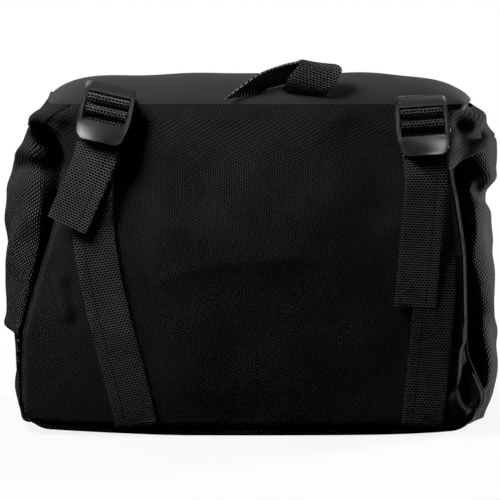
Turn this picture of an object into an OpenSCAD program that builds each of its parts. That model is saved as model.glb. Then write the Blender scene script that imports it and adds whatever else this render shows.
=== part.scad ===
// Bicycle pannier bag: soft box body, padded lid hinged along the rear edge, two webbing straps
// with ladder-lock buckles, a webbing handle, rack hooks and a ring on the stiffened back.
// Front faces -Y, +X is to the right of a person facing the front, the floor is Z = 0.

/* [Bag body] */
// Height of the front hem above the floor
bag_h = 196.5; // [175:0.5:220]
// Depth from the front seam to the back panel
bag_d = 122; // [105:1:140]
// Width of the front panel along the bottom
front_w_bottom = 276; // [262:1:290]
// Width of the front panel along the hem
front_w_top = 238; // [230:1:250]
// Width between the rear seams along the bottom
rear_w_bottom = 272; // [260:1:288]
// Width between the rear seams along the mouth
rear_w_top = 254; // [244:1:264]
// How far each side swells out at half depth
side_bulge = 19; // [12:0.5:24]
// How far each side still swells out at the mouth
mouth_bulge = 4; // [2:0.5:8]
// Height over which the sides draw in to the mouth
shoulder_h = 40; // [25:1:60]
// How far the front panel swells out at half height
front_crown = 10; // [6:0.5:14]
// How far the front panel swells out at the hem
hem_crown = 3; // [1:0.5:5]
// Radius of the lower corners seen from the front
corner_r = 16; // [10:1:22]
// Radius of the roll along the lower front edge
roll_r = 8; // [5:0.5:12]
// Thickness of the lined fabric walls
wall = 2; // [1.5:0.1:3]
// Radius of the seam welts
welt_r = 1.4; // [1:0.1:1.8]
// Height of the lower front seam
seam_z = 3; // [2.5:0.1:4]
// Width of the tape inside the mouth
hem_w = 20; // [12:1:30]
// Thickness of the tape inside the mouth
hem_t = 1.2; // [0.8:0.1:2]

/* [Back and boards] */
// Thickness of the padded back panel
back_t = 3; // [2:0.1:5]
// Thickness of the base panel
base_t = 2; // [1.5:0.1:2.4]
// Thickness of the stiffening boards
board_t = 2.5; // [1.5:0.1:4]
// Gap from the boards' edges to the walls
board_edge = 5; // [4:0.5:10]

/* [Lid] */
// Thickness of the coated lid skin
lid_t = 1.8; // [1.2:0.1:2.5]
// Thickness of the lid's padding
pad_t = 2.4; // [1.5:0.1:4]
// Height of the lid's crown above its edge
lid_crown = 13.5; // [8:0.5:18]
// How square the crown is seen from the front
lid_square = 10; // [4:2:14]
// Gap between the lid's edge and the mouth
lid_clear = 0.9; // [0.6:0.1:2]
// How far the lid's front corners are rounded off
lid_corner = 3; // [2:0.5:6]
// Height of the lid's edge above the front hem
lid_lift = 1; // [0.5:0.1:2]
// Radius of the fabric hinge along the lid's rear edge
hinge_r = 1.6; // [1.2:0.1:2]

/* [Webbing] */
// Width of the webbing
strap_w = 25; // [22:0.5:26]
// Thickness of the webbing
strap_t = 1.5; // [1:0.1:1.6]
// Left strap at the lower seam, sideways
left_foot_x = -68; // [-80:1:-50]
// Left strap at its bend, sideways
left_bend_x = -93; // [-98:1:-80]
// Height of the left strap's bend
left_bend_z = 140; // [120:1:146]
// Right strap at the lower seam, sideways
right_foot_x = 102; // [80:1:106]
// Right strap at its bend, sideways
right_bend_x = 108; // [92:1:109]
// Height of the right strap's bend
right_bend_z = 100; // [80:1:130]
// Length of the left tail below its buckle
left_tail_len = 51; // [30:1:80]
// Lean of the left tail away from plumb
left_tail_lean = 24; // [0:1:28]
// Length of the right tail below its buckle
right_tail_len = 89; // [40:1:110]
// Lean of the right tail away from plumb
right_tail_lean = 4; // [-4:1:10]

/* [Buckles] */
// Length of a buckle
buckle_len = 34.5; // [32:0.5:40]
// Width of a buckle across its top
buckle_w_top = 29.6; // [28.8:0.2:32]
// Width of a buckle at its widest
buckle_w_mid = 31.6; // [30.4:0.2:34]
// Width of a buckle along the lip of its tab
buckle_w_lip = 26; // [22:0.5:28]
// From the buckle's top to the bar of the anchor loop
anchor_bar_s = 9.1; // [8.5:0.1:10]
// From the buckle's top to the bar of the strap
strap_bar_s = 16.5; // [16.2:0.1:18]
// Depth of the buckle's top rim
rim_s = 5.9; // [5:0.1:6]
// From the buckle's top to its tab
tab_s = 22.9; // [22.6:0.1:24]
// Radius of the anchor bar
anchor_bar_r = 1.8; // [1.4:0.1:1.9]
// Radius of the strap bar
strap_bar_r = 1.6; // [1.2:0.1:1.7]
// How far the tab's lip stands out in front of the bars
lip_out = 6.2; // [5.2:0.1:9]
// Thickness of the buckle's tab
tab_t = 2; // [1.6:0.1:2.4]
// Thickness of the buckle's top rim
rim_t = 3; // [2.4:0.1:3.4]
// How far the buckle's rails stand past its bars
rail_over = 0.6; // [0.4:0.1:1]
// Radius of the corners of the buckle's rim
rim_corner_r = 2.5; // [1.5:0.5:4]
// Radius of the corners of the buckle's lip
lip_corner_r = 5; // [3:0.5:7]
// Radius of the buckle's sides at its widest
waist_r = 12; // [6:1:16]
// Clearance of webbing in the buckle
web_fit = 0.15; // [0.1:0.05:0.3]
// Left buckle's anchor bar, sideways
left_buckle_x = -82.4; // [-92:0.2:-76]
// Left buckle's anchor bar above the hem
left_buckle_up = 3; // [-6:0.2:3]
// Left buckle's roll seen from the front
left_roll = 12.5; // [0:0.5:14]
// Right buckle's anchor bar, sideways
right_buckle_x = 98.6; // [80:0.2:102]
// Right buckle's anchor bar above the hem
right_buckle_up = -4.2; // [-10:0.2:2]
// Right buckle's roll seen from the front
right_roll = -4; // [-8:0.5:6]
// How far the buckles' tabs lean away from the bag
buckle_tilt = 12; // [8:0.5:16]
// From the front panel to the anchor bars
buckle_stand = 7; // [6.6:0.1:10]

/* [Handle] */
// Handle's left foot, sideways
handle_left_x = 6; // [-20:1:8]
// Handle's right foot, sideways
handle_right_x = 32; // [24:1:50]
// Height of the handle above its feet
handle_h = 15.5; // [12:0.5:24]
// Depth of the handle's loop from front to back
handle_d = 11; // [8:0.5:16]
// Handle's line of stitching behind the lid's front edge
handle_in = 6; // [4:0.5:12]

/* [Rack hooks] */
// Radius of the hook's bend inside
hook_r = 6.3; // [5.3:0.1:8.3]
// Thickness of the hook strip
hook_t = 3; // [2:0.1:4]
// Width of the hook strip
hook_w = 20; // [14:1:30]
// Distance between the two hooks
hook_pitch = 160; // [120:1:190]
// Depth of the rack rail below the mouth
rail_drop = 26.5; // [20.5:0.5:46.5]
// Length of the hook plate below the rail
hook_plate_len = 46; // [40:1:60]
// Length of the hook's free end below the rail
hook_lip_len = 12; // [6:0.5:20]
// Radius of the rivets
rivet_r = 2.4; // [1.8:0.1:3]
// Radius of the rivet heads
rivet_head_r = 4.5; // [3.6:0.1:6]
// Height of the rivet heads
rivet_head_t = 1.2; // [0.8:0.1:2]
// Distance between a hook's two rivets
rivet_pitch = 18; // [12:1:24]
// Thickness of the strip behind the hooks
backing_t = 2; // [1.5:0.1:3]
// Height of the strip behind the hooks
backing_h = 34; // [32:1:44]

/* [Ring] */
// Height of the ring's bar
ring_z = 36; // [30:1:50]
// Radius of the ring's wire
ring_wire_r = 1.6; // [1.2:0.1:2]
// Radius of the ring's bow to the middle of the wire
ring_r = 12.5; // [12.5:0.5:16]
// Width of the tab that holds the ring
tab_w = 20; // [15:0.5:21]
// Length of the tab above the ring
tab_len = 28; // [20:1:40]

/* [Hidden] */
$fn = 48;

fabric = [0.07, 0.07, 0.075];
coarse = [0.085, 0.085, 0.09];
coated = [0.16, 0.16, 0.165];
web = [0.06, 0.06, 0.06];
moulded = [0.1, 0.1, 0.105];
steel = [0.55, 0.56, 0.57];

// Gap between sewn pieces, and between pieces that move past each other
sewn = 0.3;
clear = 0.5;
// Grid of the fabric walls
cols = 12;
rows = 14;

front_y = -bag_d / 2;
back_y = bag_d / 2;
back_face = back_y + back_t;
welt_gap = welt_r + sewn;
panel_z = seam_z + welt_gap;
web_lift = sewn + strap_t / 2;

function mix(a, b, t) = a + (b - a) * t;
function unit(v) = v / norm(v);
function flat(rows_of_points) = [for (row = rows_of_points) each row];
function last(list) = list[len(list) - 1];
function turn_x(p, a) = [p.x, p.y * cos(a) - p.z * sin(a), p.y * sin(a) + p.z * cos(a)];
function turn_y(p, a) = [p.x * cos(a) + p.z * sin(a), p.y, p.z * cos(a) - p.x * sin(a)];

// Quarter-round draw-in of a wall of radius r at height z
function draw_in(z, r) = z < r ? r - sqrt(r * r - (r - z) * (r - z)) : 0;

// Outer face of the bag: the front panel by u from -1 to 1, the right side by t from 0 to 1
function front_half(z) = mix(front_w_bottom, front_w_top, z / bag_h) / 2 - draw_in(z, corner_r);
function rear_half(z) = mix(rear_w_bottom, rear_w_top, z / bag_h) / 2 - draw_in(z, corner_r);
function crown(z) = mix(hem_crown, front_crown, sin(180 * z / bag_h));
function front_at(u, z) =
  [u * front_half(z), front_y + draw_in(z, roll_r) - crown(z) * (1 - u * u), z];
function front_face_y(x, z) = front_at(x / front_half(z), z).y;
function bulge(z) = mix(side_bulge, mouth_bulge, pow(max(0, 1 - (bag_h - z) / shoulder_h), 2));
function side_at(t, z) = [
  mix(front_half(z), rear_half(z), t) + bulge(z) * 4 * t * (1 - t),
  mix(front_y + draw_in(z, roll_r), back_y, t),
  z
];

// Closed solid between two grids of points, the first one facing out
module slab(out, inner) {
  n = len(out);
  m = len(out[0]);
  function a(i, j) = i * m + j;
  function b(i, j) = n * m + i * m + j;
  function quad(p, q, r, s) = [[p, q, r], [p, r, s]];
  faces = [
    for (i = [0 : n - 2], j = [0 : m - 2]) each concat(
      quad(a(i, j), a(i + 1, j), a(i + 1, j + 1), a(i, j + 1)),
      quad(b(i, j), b(i, j + 1), b(i + 1, j + 1), b(i + 1, j))
    ),
    for (j = [0 : m - 2]) each concat(
      quad(a(0, j), a(0, j + 1), b(0, j + 1), b(0, j)),
      quad(a(n - 1, j + 1), a(n - 1, j), b(n - 1, j), b(n - 1, j + 1))
    ),
    for (i = [0 : n - 2]) each concat(
      quad(a(i + 1, 0), a(i, 0), b(i, 0), b(i + 1, 0)),
      quad(a(i, m - 1), a(i + 1, m - 1), b(i + 1, m - 1), b(i, m - 1))
    )
  ];
  polyhedron(concat(flat(out), flat(inner)), faces);
}

// Smooth run of points through a short list
function through(p, steps) = [
  for (i = [0 : len(p) - 2], k = [0 : steps - 1])
    let (
      a = p[max(0, i - 1)],
      b = p[i],
      c = p[i + 1],
      d = p[min(len(p) - 1, i + 2)],
      t = k / steps
    )
    0.5 * (2 * b + (c - a) * t + (2 * a - 5 * b + 4 * c - d) * t * t + (3 * b - a - 3 * c + d) * t * t * t),
  last(p)
];
function heading(path, i) = unit(path[min(len(path) - 1, i + 1)] - path[max(0, i - 1)]);

// Flat band along a path, with its width along the side vectors
module band(path, sides, w, t) {
  lift = [for (i = [0 : len(path) - 1]) unit(cross(sides[i], heading(path, i))) * t / 2];
  slab(
    [for (i = [0 : len(path) - 1]) [for (s = [-0.5, 0.5]) path[i] + sides[i] * s * w + lift[i]]],
    [for (i = [0 : len(path) - 1]) [for (s = [-0.5, 0.5]) path[i] + sides[i] * s * w - lift[i]]]
  );
}

// Round cord along a path
module cord(path, r, across) {
  n = 8;
  m = len(path);
  points = [
    for (i = [0 : m - 1])
      let (
        t = heading(path, i),
        e = unit(across - t * (across * t)),
        f = cross(t, e)
      )
      for (k = [0 : n - 1]) path[i] + r * (cos(360 * k / n) * e + sin(360 * k / n) * f)
  ];
  faces = [
    for (i = [0 : m - 2], k = [0 : n - 1]) let (q = (k + 1) % n)
      each [
        [i * n + k, (i + 1) * n + k, (i + 1) * n + q],
        [i * n + k, (i + 1) * n + q, i * n + q]
      ],
    [for (k = [0 : n - 1]) k],
    [for (k = [n - 1 : -1 : 0]) (m - 1) * n + k]
  ];
  polyhedron(points, faces);
}

// Outline with its corners rounded by the radii
function corner(a, b, c, r) =
  let (
    u = unit(a - b),
    v = unit(c - b),
    half = acos(u * v) / 2,
    o = b + unit(u + v) * r / sin(half),
    p = b + u * r / tan(half) - o,
    q = b + v * r / tan(half) - o,
    from = atan2(p.y, p.x),
    sweep = (atan2(q.y, q.x) - from + 540) % 360 - 180,
    n = 6
  )
  [for (i = [0 : n]) o + r * [cos(from + sweep * i / n), sin(from + sweep * i / n)]];
function rounded(pts, radii) =
  let (n = len(pts))
  [for (i = [0 : n - 1]) each corner(pts[(i + n - 1) % n], pts[i], pts[(i + 1) % n], radii[i])];

// Profile in the YZ plane drawn out along X
module along_x(w) {
  rotate([90, 0, 90]) linear_extrude(w, center = true) children();
}

// Fabric walls: rows of points from the foot up, with rows at the tape inside the mouth

hem_steps = 4;
hem_heights = [for (i = [0 : hem_steps]) mix(bag_h - hem_w, bag_h, i / hem_steps)];
function wall_rows(foot, crowd) = concat(
  [for (i = [0 : rows - 1]) mix(foot, bag_h - hem_w, pow(i / rows, crowd))],
  hem_heights
);
wall_heights = wall_rows(panel_z, 1);

module front_panel() {
  inset = [for (z = wall_heights) 1 - welt_gap / front_half(z)];
  function at(i, j) = front_at(mix(-1, 1, j / cols) * inset[i], wall_heights[i]);
  color(fabric) slab(
    [for (i = [0 : len(inset) - 1]) [for (j = [0 : cols]) at(i, j)]],
    [for (i = [0 : len(inset) - 1]) [for (j = [0 : cols]) at(i, j) + [0, wall, 0]]]
  );
}

module right_side_panel() {
  heights = wall_rows(base_t + sewn, 1.6);
  start = welt_gap / bag_d;
  function at(i, j) = side_at(mix(start, 1 - start, j / cols), heights[i]);
  color(coarse) slab(
    [for (i = [0 : len(heights) - 1]) [for (j = [0 : cols]) at(i, j)]],
    [for (i = [0 : len(heights) - 1]) [for (j = [0 : cols]) at(i, j) - [wall, 0, 0]]]
  );
}

module left_side_panel() {
  mirror([1, 0, 0]) right_side_panel();
}

// Plan of the bag just above the floor, drawn in by a gap
function floor_plan(gap) = concat(
  [for (j = [0 : cols]) let (u = mix(-1, 1, j / cols)) floor_front(u, gap)],
  [for (j = [1 : cols - 1]) floor_side(j / cols, gap)],
  [[rear_half(seam_z) - gap, back_y], [gap - rear_half(seam_z), back_y]],
  [for (j = [cols - 1 : -1 : 1]) let (p = floor_side(j / cols, gap)) [-p.x, p.y]]
);
function floor_front(u, gap) =
  let (p = front_at(u, seam_z)) [p.x * (1 - gap / front_half(seam_z)), p.y + gap];
function floor_side(t, gap) =
  let (p = side_at(t, base_t / 2)) [p.x - gap, max(p.y, front_y + draw_in(seam_z, roll_r) + gap)];

module base_panel() {
  color(coarse) linear_extrude(base_t) polygon(floor_plan(welt_gap));
}

module base_board() {
  z = base_t + sewn / 2;
  rear = back_y - board_t - sewn - board_edge / 2;
  color(moulded) translate([0, 0, z]) linear_extrude(board_t) intersection() {
    polygon(floor_plan(wall + board_edge));
    translate([-bag_d * 2, rear - bag_d * 2]) square([bag_d * 4, bag_d * 2]);
  }
}

// Outline of the flat back, drawn in by a gap, between two heights
function back_outline(gap, low, high) =
  let (
    n = 10,
    heights = [for (i = [0 : n]) low + (high - low) * pow(i / n, 2)]
  )
  concat(
    [for (z = heights) [rear_half(z) - gap, z]],
    [for (i = [n : -1 : 0]) [gap - rear_half(heights[i]), heights[i]]]
  );

module sheet_at(y, t) {
  translate([0, y + t, 0]) rotate([90, 0, 0]) linear_extrude(t) children();
}

module rivet_holes(y, t) {
  for (x = [-0.5, 0.5] * hook_pitch, z = rivet_heights)
    translate([x, y - 1, z]) rotate([-90, 0, 0]) cylinder(r = rivet_r + web_fit, h = t + 2);
}

module back_panel() {
  color(fabric) difference() {
    sheet_at(back_y, back_t) polygon(back_outline(welt_gap, base_t + sewn, bag_h + lid_lift));
    rivet_holes(back_y, back_t);
  }
}

board_y = back_y - board_t;
module back_board() {
  foot = base_t + board_t + sewn;
  color(moulded) difference() {
    sheet_at(board_y, board_t) polygon(back_outline(wall + board_edge, foot, bag_h - board_edge));
    rivet_holes(board_y, board_t);
  }
}

module front_welt() {
  down = [for (i = [0 : rows]) mix(bag_h - welt_r, seam_z, sin(90 * i / rows))];
  left = [for (z = down) front_at(-1, z)];
  bottom = [for (j = [1 : cols - 1]) front_at(mix(-1, 1, j / cols), seam_z)];
  right = [for (i = [rows : -1 : 0]) front_at(1, down[i])];
  color(fabric) cord(concat(left, bottom, right), welt_r, [0, 1, 0]);
}

module back_welt() {
  down = [for (i = [0 : rows]) mix(bag_h - welt_r, seam_z, sin(90 * i / rows))];
  left = [for (z = down) [-rear_half(z), back_y + sewn, z]];
  color(fabric) for (side = [0, 1]) mirror([side, 0, 0]) cord(left, welt_r, [0, 1, 0]);
}

// Tape inside the mouth, from one rear corner round the front to the other
function mouth_path(gap, z) =
  let (
    start = (wall + gap + welt_gap) / bag_d,
    right = [
      for (j = [0 : cols])
        let (p = side_at(mix(start, 1 - start, j / cols), z))
        [p.x - wall - gap, p.y, z]
    ],
    reach = front_half(z) - wall - gap - welt_gap,
    front = [
      for (j = [0 : cols])
        let (x = mix(-reach, reach, j / cols))
        [x, front_face_y(x, z) + wall + gap, z]
    ]
  )
  concat([for (j = [cols : -1 : 0]) [-right[j].x, right[j].y, z]], front, right);

module mouth_hem() {
  color(fabric) slab(
    [for (z = hem_heights) mouth_path(sewn, z)],
    [for (z = hem_heights) mouth_path(sewn + hem_t, z)]
  );
}

// Lid

lid_z = bag_h + lid_lift;
hinge_y = back_y - hinge_r;
hinge_z = lid_z + hinge_r;
lid_in = wall + sewn + hem_t + lid_clear;
lid_rear = hinge_y - hinge_r - sewn / 2;

function corner_cut(v) = lid_corner * pow(max(0, 1 - v * bag_d / (3 * lid_corner)), 2);
function lid_half(v) = side_at(mix(lid_in / bag_d, 1, v), bag_h).x - lid_in - corner_cut(v);
function lid_at(u, v, drop) =
  let (front = front_at(u, bag_h).y + lid_in)
  [
    u * lid_half(v),
    mix(front, lid_rear, v),
    lid_z - drop + lid_crown * (1 - pow(u, lid_square)) * sin(180 * pow(v, 0.8))
  ];
function lid_grid(drop) = [
  for (i = [0 : cols]) [
    for (j = [0 : cols])
      let (
        inset = bind_t + clear,
        edge = inset / lid_half(1),
        u = mix(-1 + edge, 1 - edge, j / cols),
        v = mix(inset / bag_d, 1, i / cols)
      )
      lid_at(u, v, drop)
  ]
];

module lid_panel() {
  color(coated) slab(lid_grid(0), lid_grid(lid_t));
}

module lid_pad() {
  top = lid_t + sewn / 2;
  color(moulded) slab(lid_grid(top), lid_grid(top + pad_t));
}

// Tape round the lid's free edges, covering the skin and the padding
bind_t = 1.2;
module lid_binding() {
  left = [for (i = [cols : -1 : 1]) [-1, i / cols]];
  front = [for (j = [0 : cols]) [mix(-1, 1, j / cols), 0]];
  right = [for (i = [1 : cols]) [1, i / cols]];
  run = concat(left, front, right);
  rim = [for (uv = run) lid_at(uv.x, uv.y, 0)];
  function inward(i) = let (t = heading(rim, i)) bind_t * unit([-t.y, t.x, 0]);
  low = [0, 0, -lid_t - sewn - pad_t];
  inner = [for (i = [0 : len(rim) - 1]) rim[i] + inward(i)];
  color(coated) slab([[for (p = rim) p + low], rim], [[for (p = inner) p + low], inner]);
}

module lid_hinge() {
  w = 2 * (lid_half(1) - bind_t);
  color(coated) translate([0, hinge_y, hinge_z]) rotate([0, 90, 0])
    cylinder(r = hinge_r, h = w, center = true);
}

// Handle: a twisted loop of webbing, its two feet on one line of stitching

handle_y = front_at(0, bag_h).y + lid_in + handle_in;
handle_z = lid_top(0, handle_y) + clear + strap_t / 2;
module handle() {
  span = handle_right_x - handle_left_x;
  size = [span, handle_d, handle_h];
  // Points along the loop as shares of its size, each with the way across the webbing there
  shape = [
    [[0, 0, 0], [1, 0, 0]],
    [[0.06, 0.23, 0.16], [1, 0, 0]],
    [[0.35, 0.6, 0.48], [1, 0.1, 0]],
    [[0.8, 0.78, 0.84], [0.97, 0.25, 0]],
    [[1.22, 0.55, 1], [0.95, 0.3, -0.08]],
    [[1.4, 0.05, 0.95], [0.97, 0.25, -0.06]],
    [[1.3, -0.22, 0.66], [1, 0.06, 0]],
    [[1.1, -0.2, 0.3], [1, 0, 0]],
    [[1, 0, 0], [1, 0, 0]]
  ];
  foot = [handle_left_x, handle_y, handle_z];
  path = through([for (k = shape) [for (i = [0 : 2]) foot[i] + k[0][i] * size[i]]], 4);
  sides = [for (v = through([for (k = shape) k[1]], 4)) unit(v)];
  color(web) band(path, sides, strap_w, strap_t);
}

// Buckles: each seat holds the anchor bar's middle, the roll and the yaw

yaw = 5;
function stand_y(x) = front_face_y(x, bag_h) - buckle_stand;
left_seat = [[left_buckle_x, stand_y(left_buckle_x), bag_h + left_buckle_up], left_roll, -yaw];
right_seat = [[right_buckle_x, stand_y(right_buckle_x), bag_h + right_buckle_up], right_roll, yaw];

function turn_z(p, a) = [p.x * cos(a) - p.y * sin(a), p.x * sin(a) + p.y * cos(a), p.z];
function seat_dir(seat, v) = turn_z(turn_x(turn_y(v, seat[1]), -buckle_tilt), seat[2]);
function seat_point(seat, p) = seat[0] + seat_dir(seat, p);
module at_seat(seat) {
  translate(seat[0]) rotate([0, 0, seat[2]]) rotate([-buckle_tilt, 0, 0]) rotate([0, seat[1], 0])
    children();
}

// Heights in the buckle, counted from the anchor bar
top_z = anchor_bar_s;
rim_z = anchor_bar_s - rim_s;
strap_bar_z = anchor_bar_s - strap_bar_s;
tab_z = anchor_bar_s - tab_s;
lip_z = anchor_bar_s - buckle_len;
mid_z = anchor_bar_s - buckle_len * 0.6;
anchor_turn = anchor_bar_r + web_fit + strap_t / 2;
strap_turn = strap_bar_r + web_fit + strap_t / 2;
slot_half = strap_w / 2 + clear;
// Middle of the tail where it passes behind the tab
tail_y = strap_turn - strap_t - clear;
tab_back = tail_y - strap_t / 2 - clear;
// Gap at which the tail turns below the loop
tail_gap = strap_t / 2 + sewn / 2;

module buckle() {
  outline = rounded([
    [-buckle_w_top / 2, top_z], [buckle_w_top / 2, top_z],
    [buckle_w_mid / 2, mid_z], [buckle_w_lip / 2, lip_z],
    [-buckle_w_lip / 2, lip_z], [-buckle_w_mid / 2, mid_z]
  ], [rim_corner_r, rim_corner_r, waist_r, lip_corner_r, lip_corner_r, waist_r]);
  rail_back = anchor_bar_r + rail_over;
  rail_front = -strap_turn - rail_over;
  rim_front = -anchor_turn - rail_over;
  rim_foot = rim_front + rim_t / 2;
  steps = 6;
  function flare(t, y) =
    [y - (lip_out - tab_t + y) * (1 - cos(90 * t)), mix(tab_z, lip_z, t)];
  profile = concat(
    [[rim_front + rail_over, top_z], [rim_front, rim_z], [rail_front, strap_bar_z]],
    [for (k = [0 : steps]) flare(k / steps, tab_back - tab_t) - [k / steps * tab_t, 0]],
    [for (k = [steps : -1 : 0]) flare(k / steps, tab_back)],
    [
      [rail_back, tab_z + 2 * strap_bar_r], [rail_back, rim_z - 2 * rail_over],
      [rim_foot, rim_z], [rim_front + rim_t, rim_z + rim_t / 2], [rim_front + rim_t, top_z]
    ]
  );
  bar_len = 2 * slot_half + tab_t;
  color(moulded) {
    intersection() {
      rotate([90, 0, 0]) linear_extrude(4 * lip_out, center = true) difference() {
        polygon(outline);
        translate([-slot_half, tab_z]) square([2 * slot_half, rim_z - tab_z]);
      }
      along_x(2 * buckle_w_mid) polygon(profile);
    }
    along_x(bar_len) circle(anchor_bar_r);
    translate([0, 0, strap_bar_z]) along_x(bar_len) circle(strap_bar_r);
  }
}

// Stretch of strap in a buckle: up behind the tab, over the strap bar and down behind the tab
module strap_loop() {
  lean = 32;
  off = [-strap_turn * cos(lean), strap_bar_z - strap_turn * sin(lean)];
  knee = off + (tail_y - off.x) / sin(lean) * [sin(lean), -cos(lean)];
  over = [for (k = [0 : 14]) mix(0, 180 + lean, k / 14)];
  path = concat(
    [[0, strap_turn, lip_z]],
    [for (a = over) [0, strap_turn * cos(a), strap_bar_z + strap_turn * sin(a)]],
    [[0, knee.x, knee.y], [0, tail_y, lip_z]]
  );
  color(web) band(path, [for (p = path) [1, 0, 0]], strap_w, strap_t);
}

// Anchor: a loop of webbing from the lid's front edge round the anchor bar and back
function lid_top(x, y) =
  let (
    front = front_face_y(x, bag_h) + lid_in,
    v = (y - front) / (lid_rear - front)
  )
  lid_at(x / lid_half(v), v, 0).z;
function anchor_y(x) = front_face_y(x, bag_h) + lid_in + clear;
function anchor_low(x) = lid_top(x, anchor_y(x)) + clear + strap_t / 2;
function anchor_high(x) = anchor_low(x) + strap_t + web_fit;
module anchor(seat) {
  lean = 65;
  x = seat[0].x;
  hem_y = front_face_y(x, bag_h);
  turned = seat_dir(seat, [1, 0, 0]);
  // Point of the buckle's middle plane at a depth and a height
  function in_line(y, z) =
    [x - (turned.y * (y - seat[0].y) + turned.z * (z - seat[0].z)) / turned.x, y, z];
  off = [-anchor_turn * cos(lean), anchor_turn * sin(lean)];
  knee = off + (strap_t / 2 + web_fit - off.x) / sin(lean) * [sin(lean), cos(lean)];
  steps = 14;
  around = [
    for (k = [0 : steps])
      let (a = mix(10, -180 - lean, k / steps))
      [0, anchor_turn * cos(a), anchor_turn * sin(a)]
  ];
  behind = [0, anchor_bar_r + rail_over + strap_t, max(knee.y, anchor_high(x) - seat[0].z - strap_t)];
  low = anchor_low(x);
  high = anchor_high(x);
  path = concat(
    through([
      in_line(anchor_y(x), low), in_line(hem_y + wall, low),
      in_line(hem_y - clear, low - web_fit), seat_point(seat, around[0])
    ], 3),
    [for (k = [1 : steps]) seat_point(seat, around[k])],
    [seat_point(seat, [0, knee.x, knee.y])],
    through([
      seat_point(seat, behind), in_line(hem_y - clear, high),
      in_line(hem_y + wall, high), in_line(anchor_y(x), high)
    ], 3)
  );
  sides = [
    for (i = [0 : len(path) - 1])
      let (
        t = heading(path, i),
        far = min(1, max(0, (hem_y - path[i].y) / (buckle_stand - anchor_turn - strap_t))),
        e = mix([1, 0, 0], turned, far)
      )
      unit(e - t * (e * t))
  ];
  color(web) band(path, sides, strap_w, strap_t);
}

// Strap from the lower seam up the front to the buckle
module strap(seat, foot_x, bend_x, bend_z) {
  function in_buckle(drop) = seat_point(seat, [0, strap_turn, lip_z - drop]);
  lead = 4 * strap_t;
  top = in_buckle(clear + lead);
  low = panel_z + sewn;
  // Height at which the strap starts to leave the front panel
  leave = bag_h * 0.6;
  function lifted(z) = max(0, (z - leave) / (top.z - leave));
  rise = front_face_y(top.x, top.z) - web_lift - top.y;
  function on_front(p) =
    let (s = lifted(p.y))
    [p.x, front_face_y(p.x, p.y) - web_lift - rise * s * s * (3 - 2 * s), p.y];
  run = through([[foot_x, low], [bend_x, bend_z], [top.x, top.z]], 9);
  path = concat([for (p = run) on_front(p)], [in_buckle(clear + strap_t), in_buckle(clear)]);
  turned = seat_dir(seat, [1, 0, 0]);
  sides = [
    for (i = [0 : len(path) - 1])
      let (
        t = heading(path, i),
        p = path[i],
        slope = front_face_y(p.x + 1, p.z) - front_face_y(p.x, p.z),
        e = i >= len(run) ? turned : mix([1, slope, 0], turned, lifted(p.z))
      )
      i == 0 ? unit(e) : unit(e - t * (e * t))
  ];
  color(web) band(path, sides, strap_w, strap_t);
}

// Free end of a strap below its buckle
module tail(seat, length, lean) {
  function in_buckle(drop) = seat_point(seat, [0, tail_y, lip_z - tail_gap - drop]);
  start = in_buckle(0);
  lead = 2 * strap_t;
  way = turn_y([0, 0, -1], lean);
  out = [0, -sin(buckle_tilt), 0];
  path = concat([start], through([
    in_buckle(lead),
    start + way * length * 0.3 + out * length * 0.14,
    start + way * length * 0.6 + out * length * 0.18,
    start + way * length + out * length * 0.15
  ], 4));
  turned = seat_dir(seat, [1, 0, 0]);
  sides = [
    for (i = [0 : len(path) - 1])
      let (
        t = heading(path, i),
        far = min(1, max(0, (i - 1) / 4)),
        e = mix(turned, turn_y(turned, lean - seat[1]), far)
      )
      unit(e - t * (e * t))
  ];
  color(web) band(path, sides, strap_w, strap_t);
}

module left_buckle() {
  at_seat(left_seat) buckle();
}
module left_anchor() {
  anchor(left_seat);
}
module left_strap_loop() {
  at_seat(left_seat) strap_loop();
}
module left_strap() {
  strap(left_seat, left_foot_x, left_bend_x, left_bend_z);
}
module left_tail() {
  tail(left_seat, left_tail_len, left_tail_lean);
}
module right_buckle() {
  at_seat(right_seat) buckle();
}
module right_anchor() {
  anchor(right_seat);
}
module right_strap_loop() {
  at_seat(right_seat) strap_loop();
}
module right_strap() {
  strap(right_seat, right_foot_x, right_bend_x, right_bend_z);
}
module right_tail() {
  tail(right_seat, right_tail_len, right_tail_lean);
}

// Rack hooks on the back

rail_y = back_face + hook_t + hook_r;
rail_z = bag_h - rail_drop;
rivet_mid = rail_z - hook_plate_len / 2;
rivet_heights = [rivet_mid - rivet_pitch / 2, rivet_mid + rivet_pitch / 2];

module hook(x) {
  color(moulded) difference() {
    translate([x, 0, 0]) along_x(hook_w) {
      translate([back_face, rail_z - hook_plate_len]) square([hook_t, hook_plate_len]);
      translate([rail_y + hook_r, rail_z - hook_lip_len]) square([hook_t, hook_lip_len]);
      translate([rail_y, rail_z]) difference() {
        circle(hook_r + hook_t);
        circle(hook_r);
        translate([-2 * hook_r - hook_t, -4 * hook_r]) square([4 * hook_r + 2 * hook_t, 4 * hook_r]);
      }
    }
    rivet_holes(back_face, hook_t);
  }
}
module left_hook() {
  hook(-hook_pitch / 2);
}
module right_hook() {
  hook(hook_pitch / 2);
}

backing_y = board_y - backing_t;
module hook_backing() {
  w = hook_pitch + hook_w;
  color(steel) difference() {
    sheet_at(backing_y, backing_t)
      translate([-w / 2, rivet_mid - backing_h / 2]) square([w, backing_h]);
    rivet_holes(backing_y, backing_t);
  }
}

module hook_rivets() {
  shank = back_face + hook_t - backing_y;
  color(steel) for (x = [-0.5, 0.5] * hook_pitch, z = rivet_heights)
    translate([x, backing_y, z]) rotate([-90, 0, 0]) {
      cylinder(r = rivet_r, h = shank);
      translate([0, 0, -rivet_head_t]) cylinder(r = rivet_head_r, h = rivet_head_t);
      translate([0, 0, shank]) cylinder(r = rivet_head_r, h = rivet_head_t);
    }
}

// Ring for the lower fastening, in a folded tab of webbing

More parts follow.
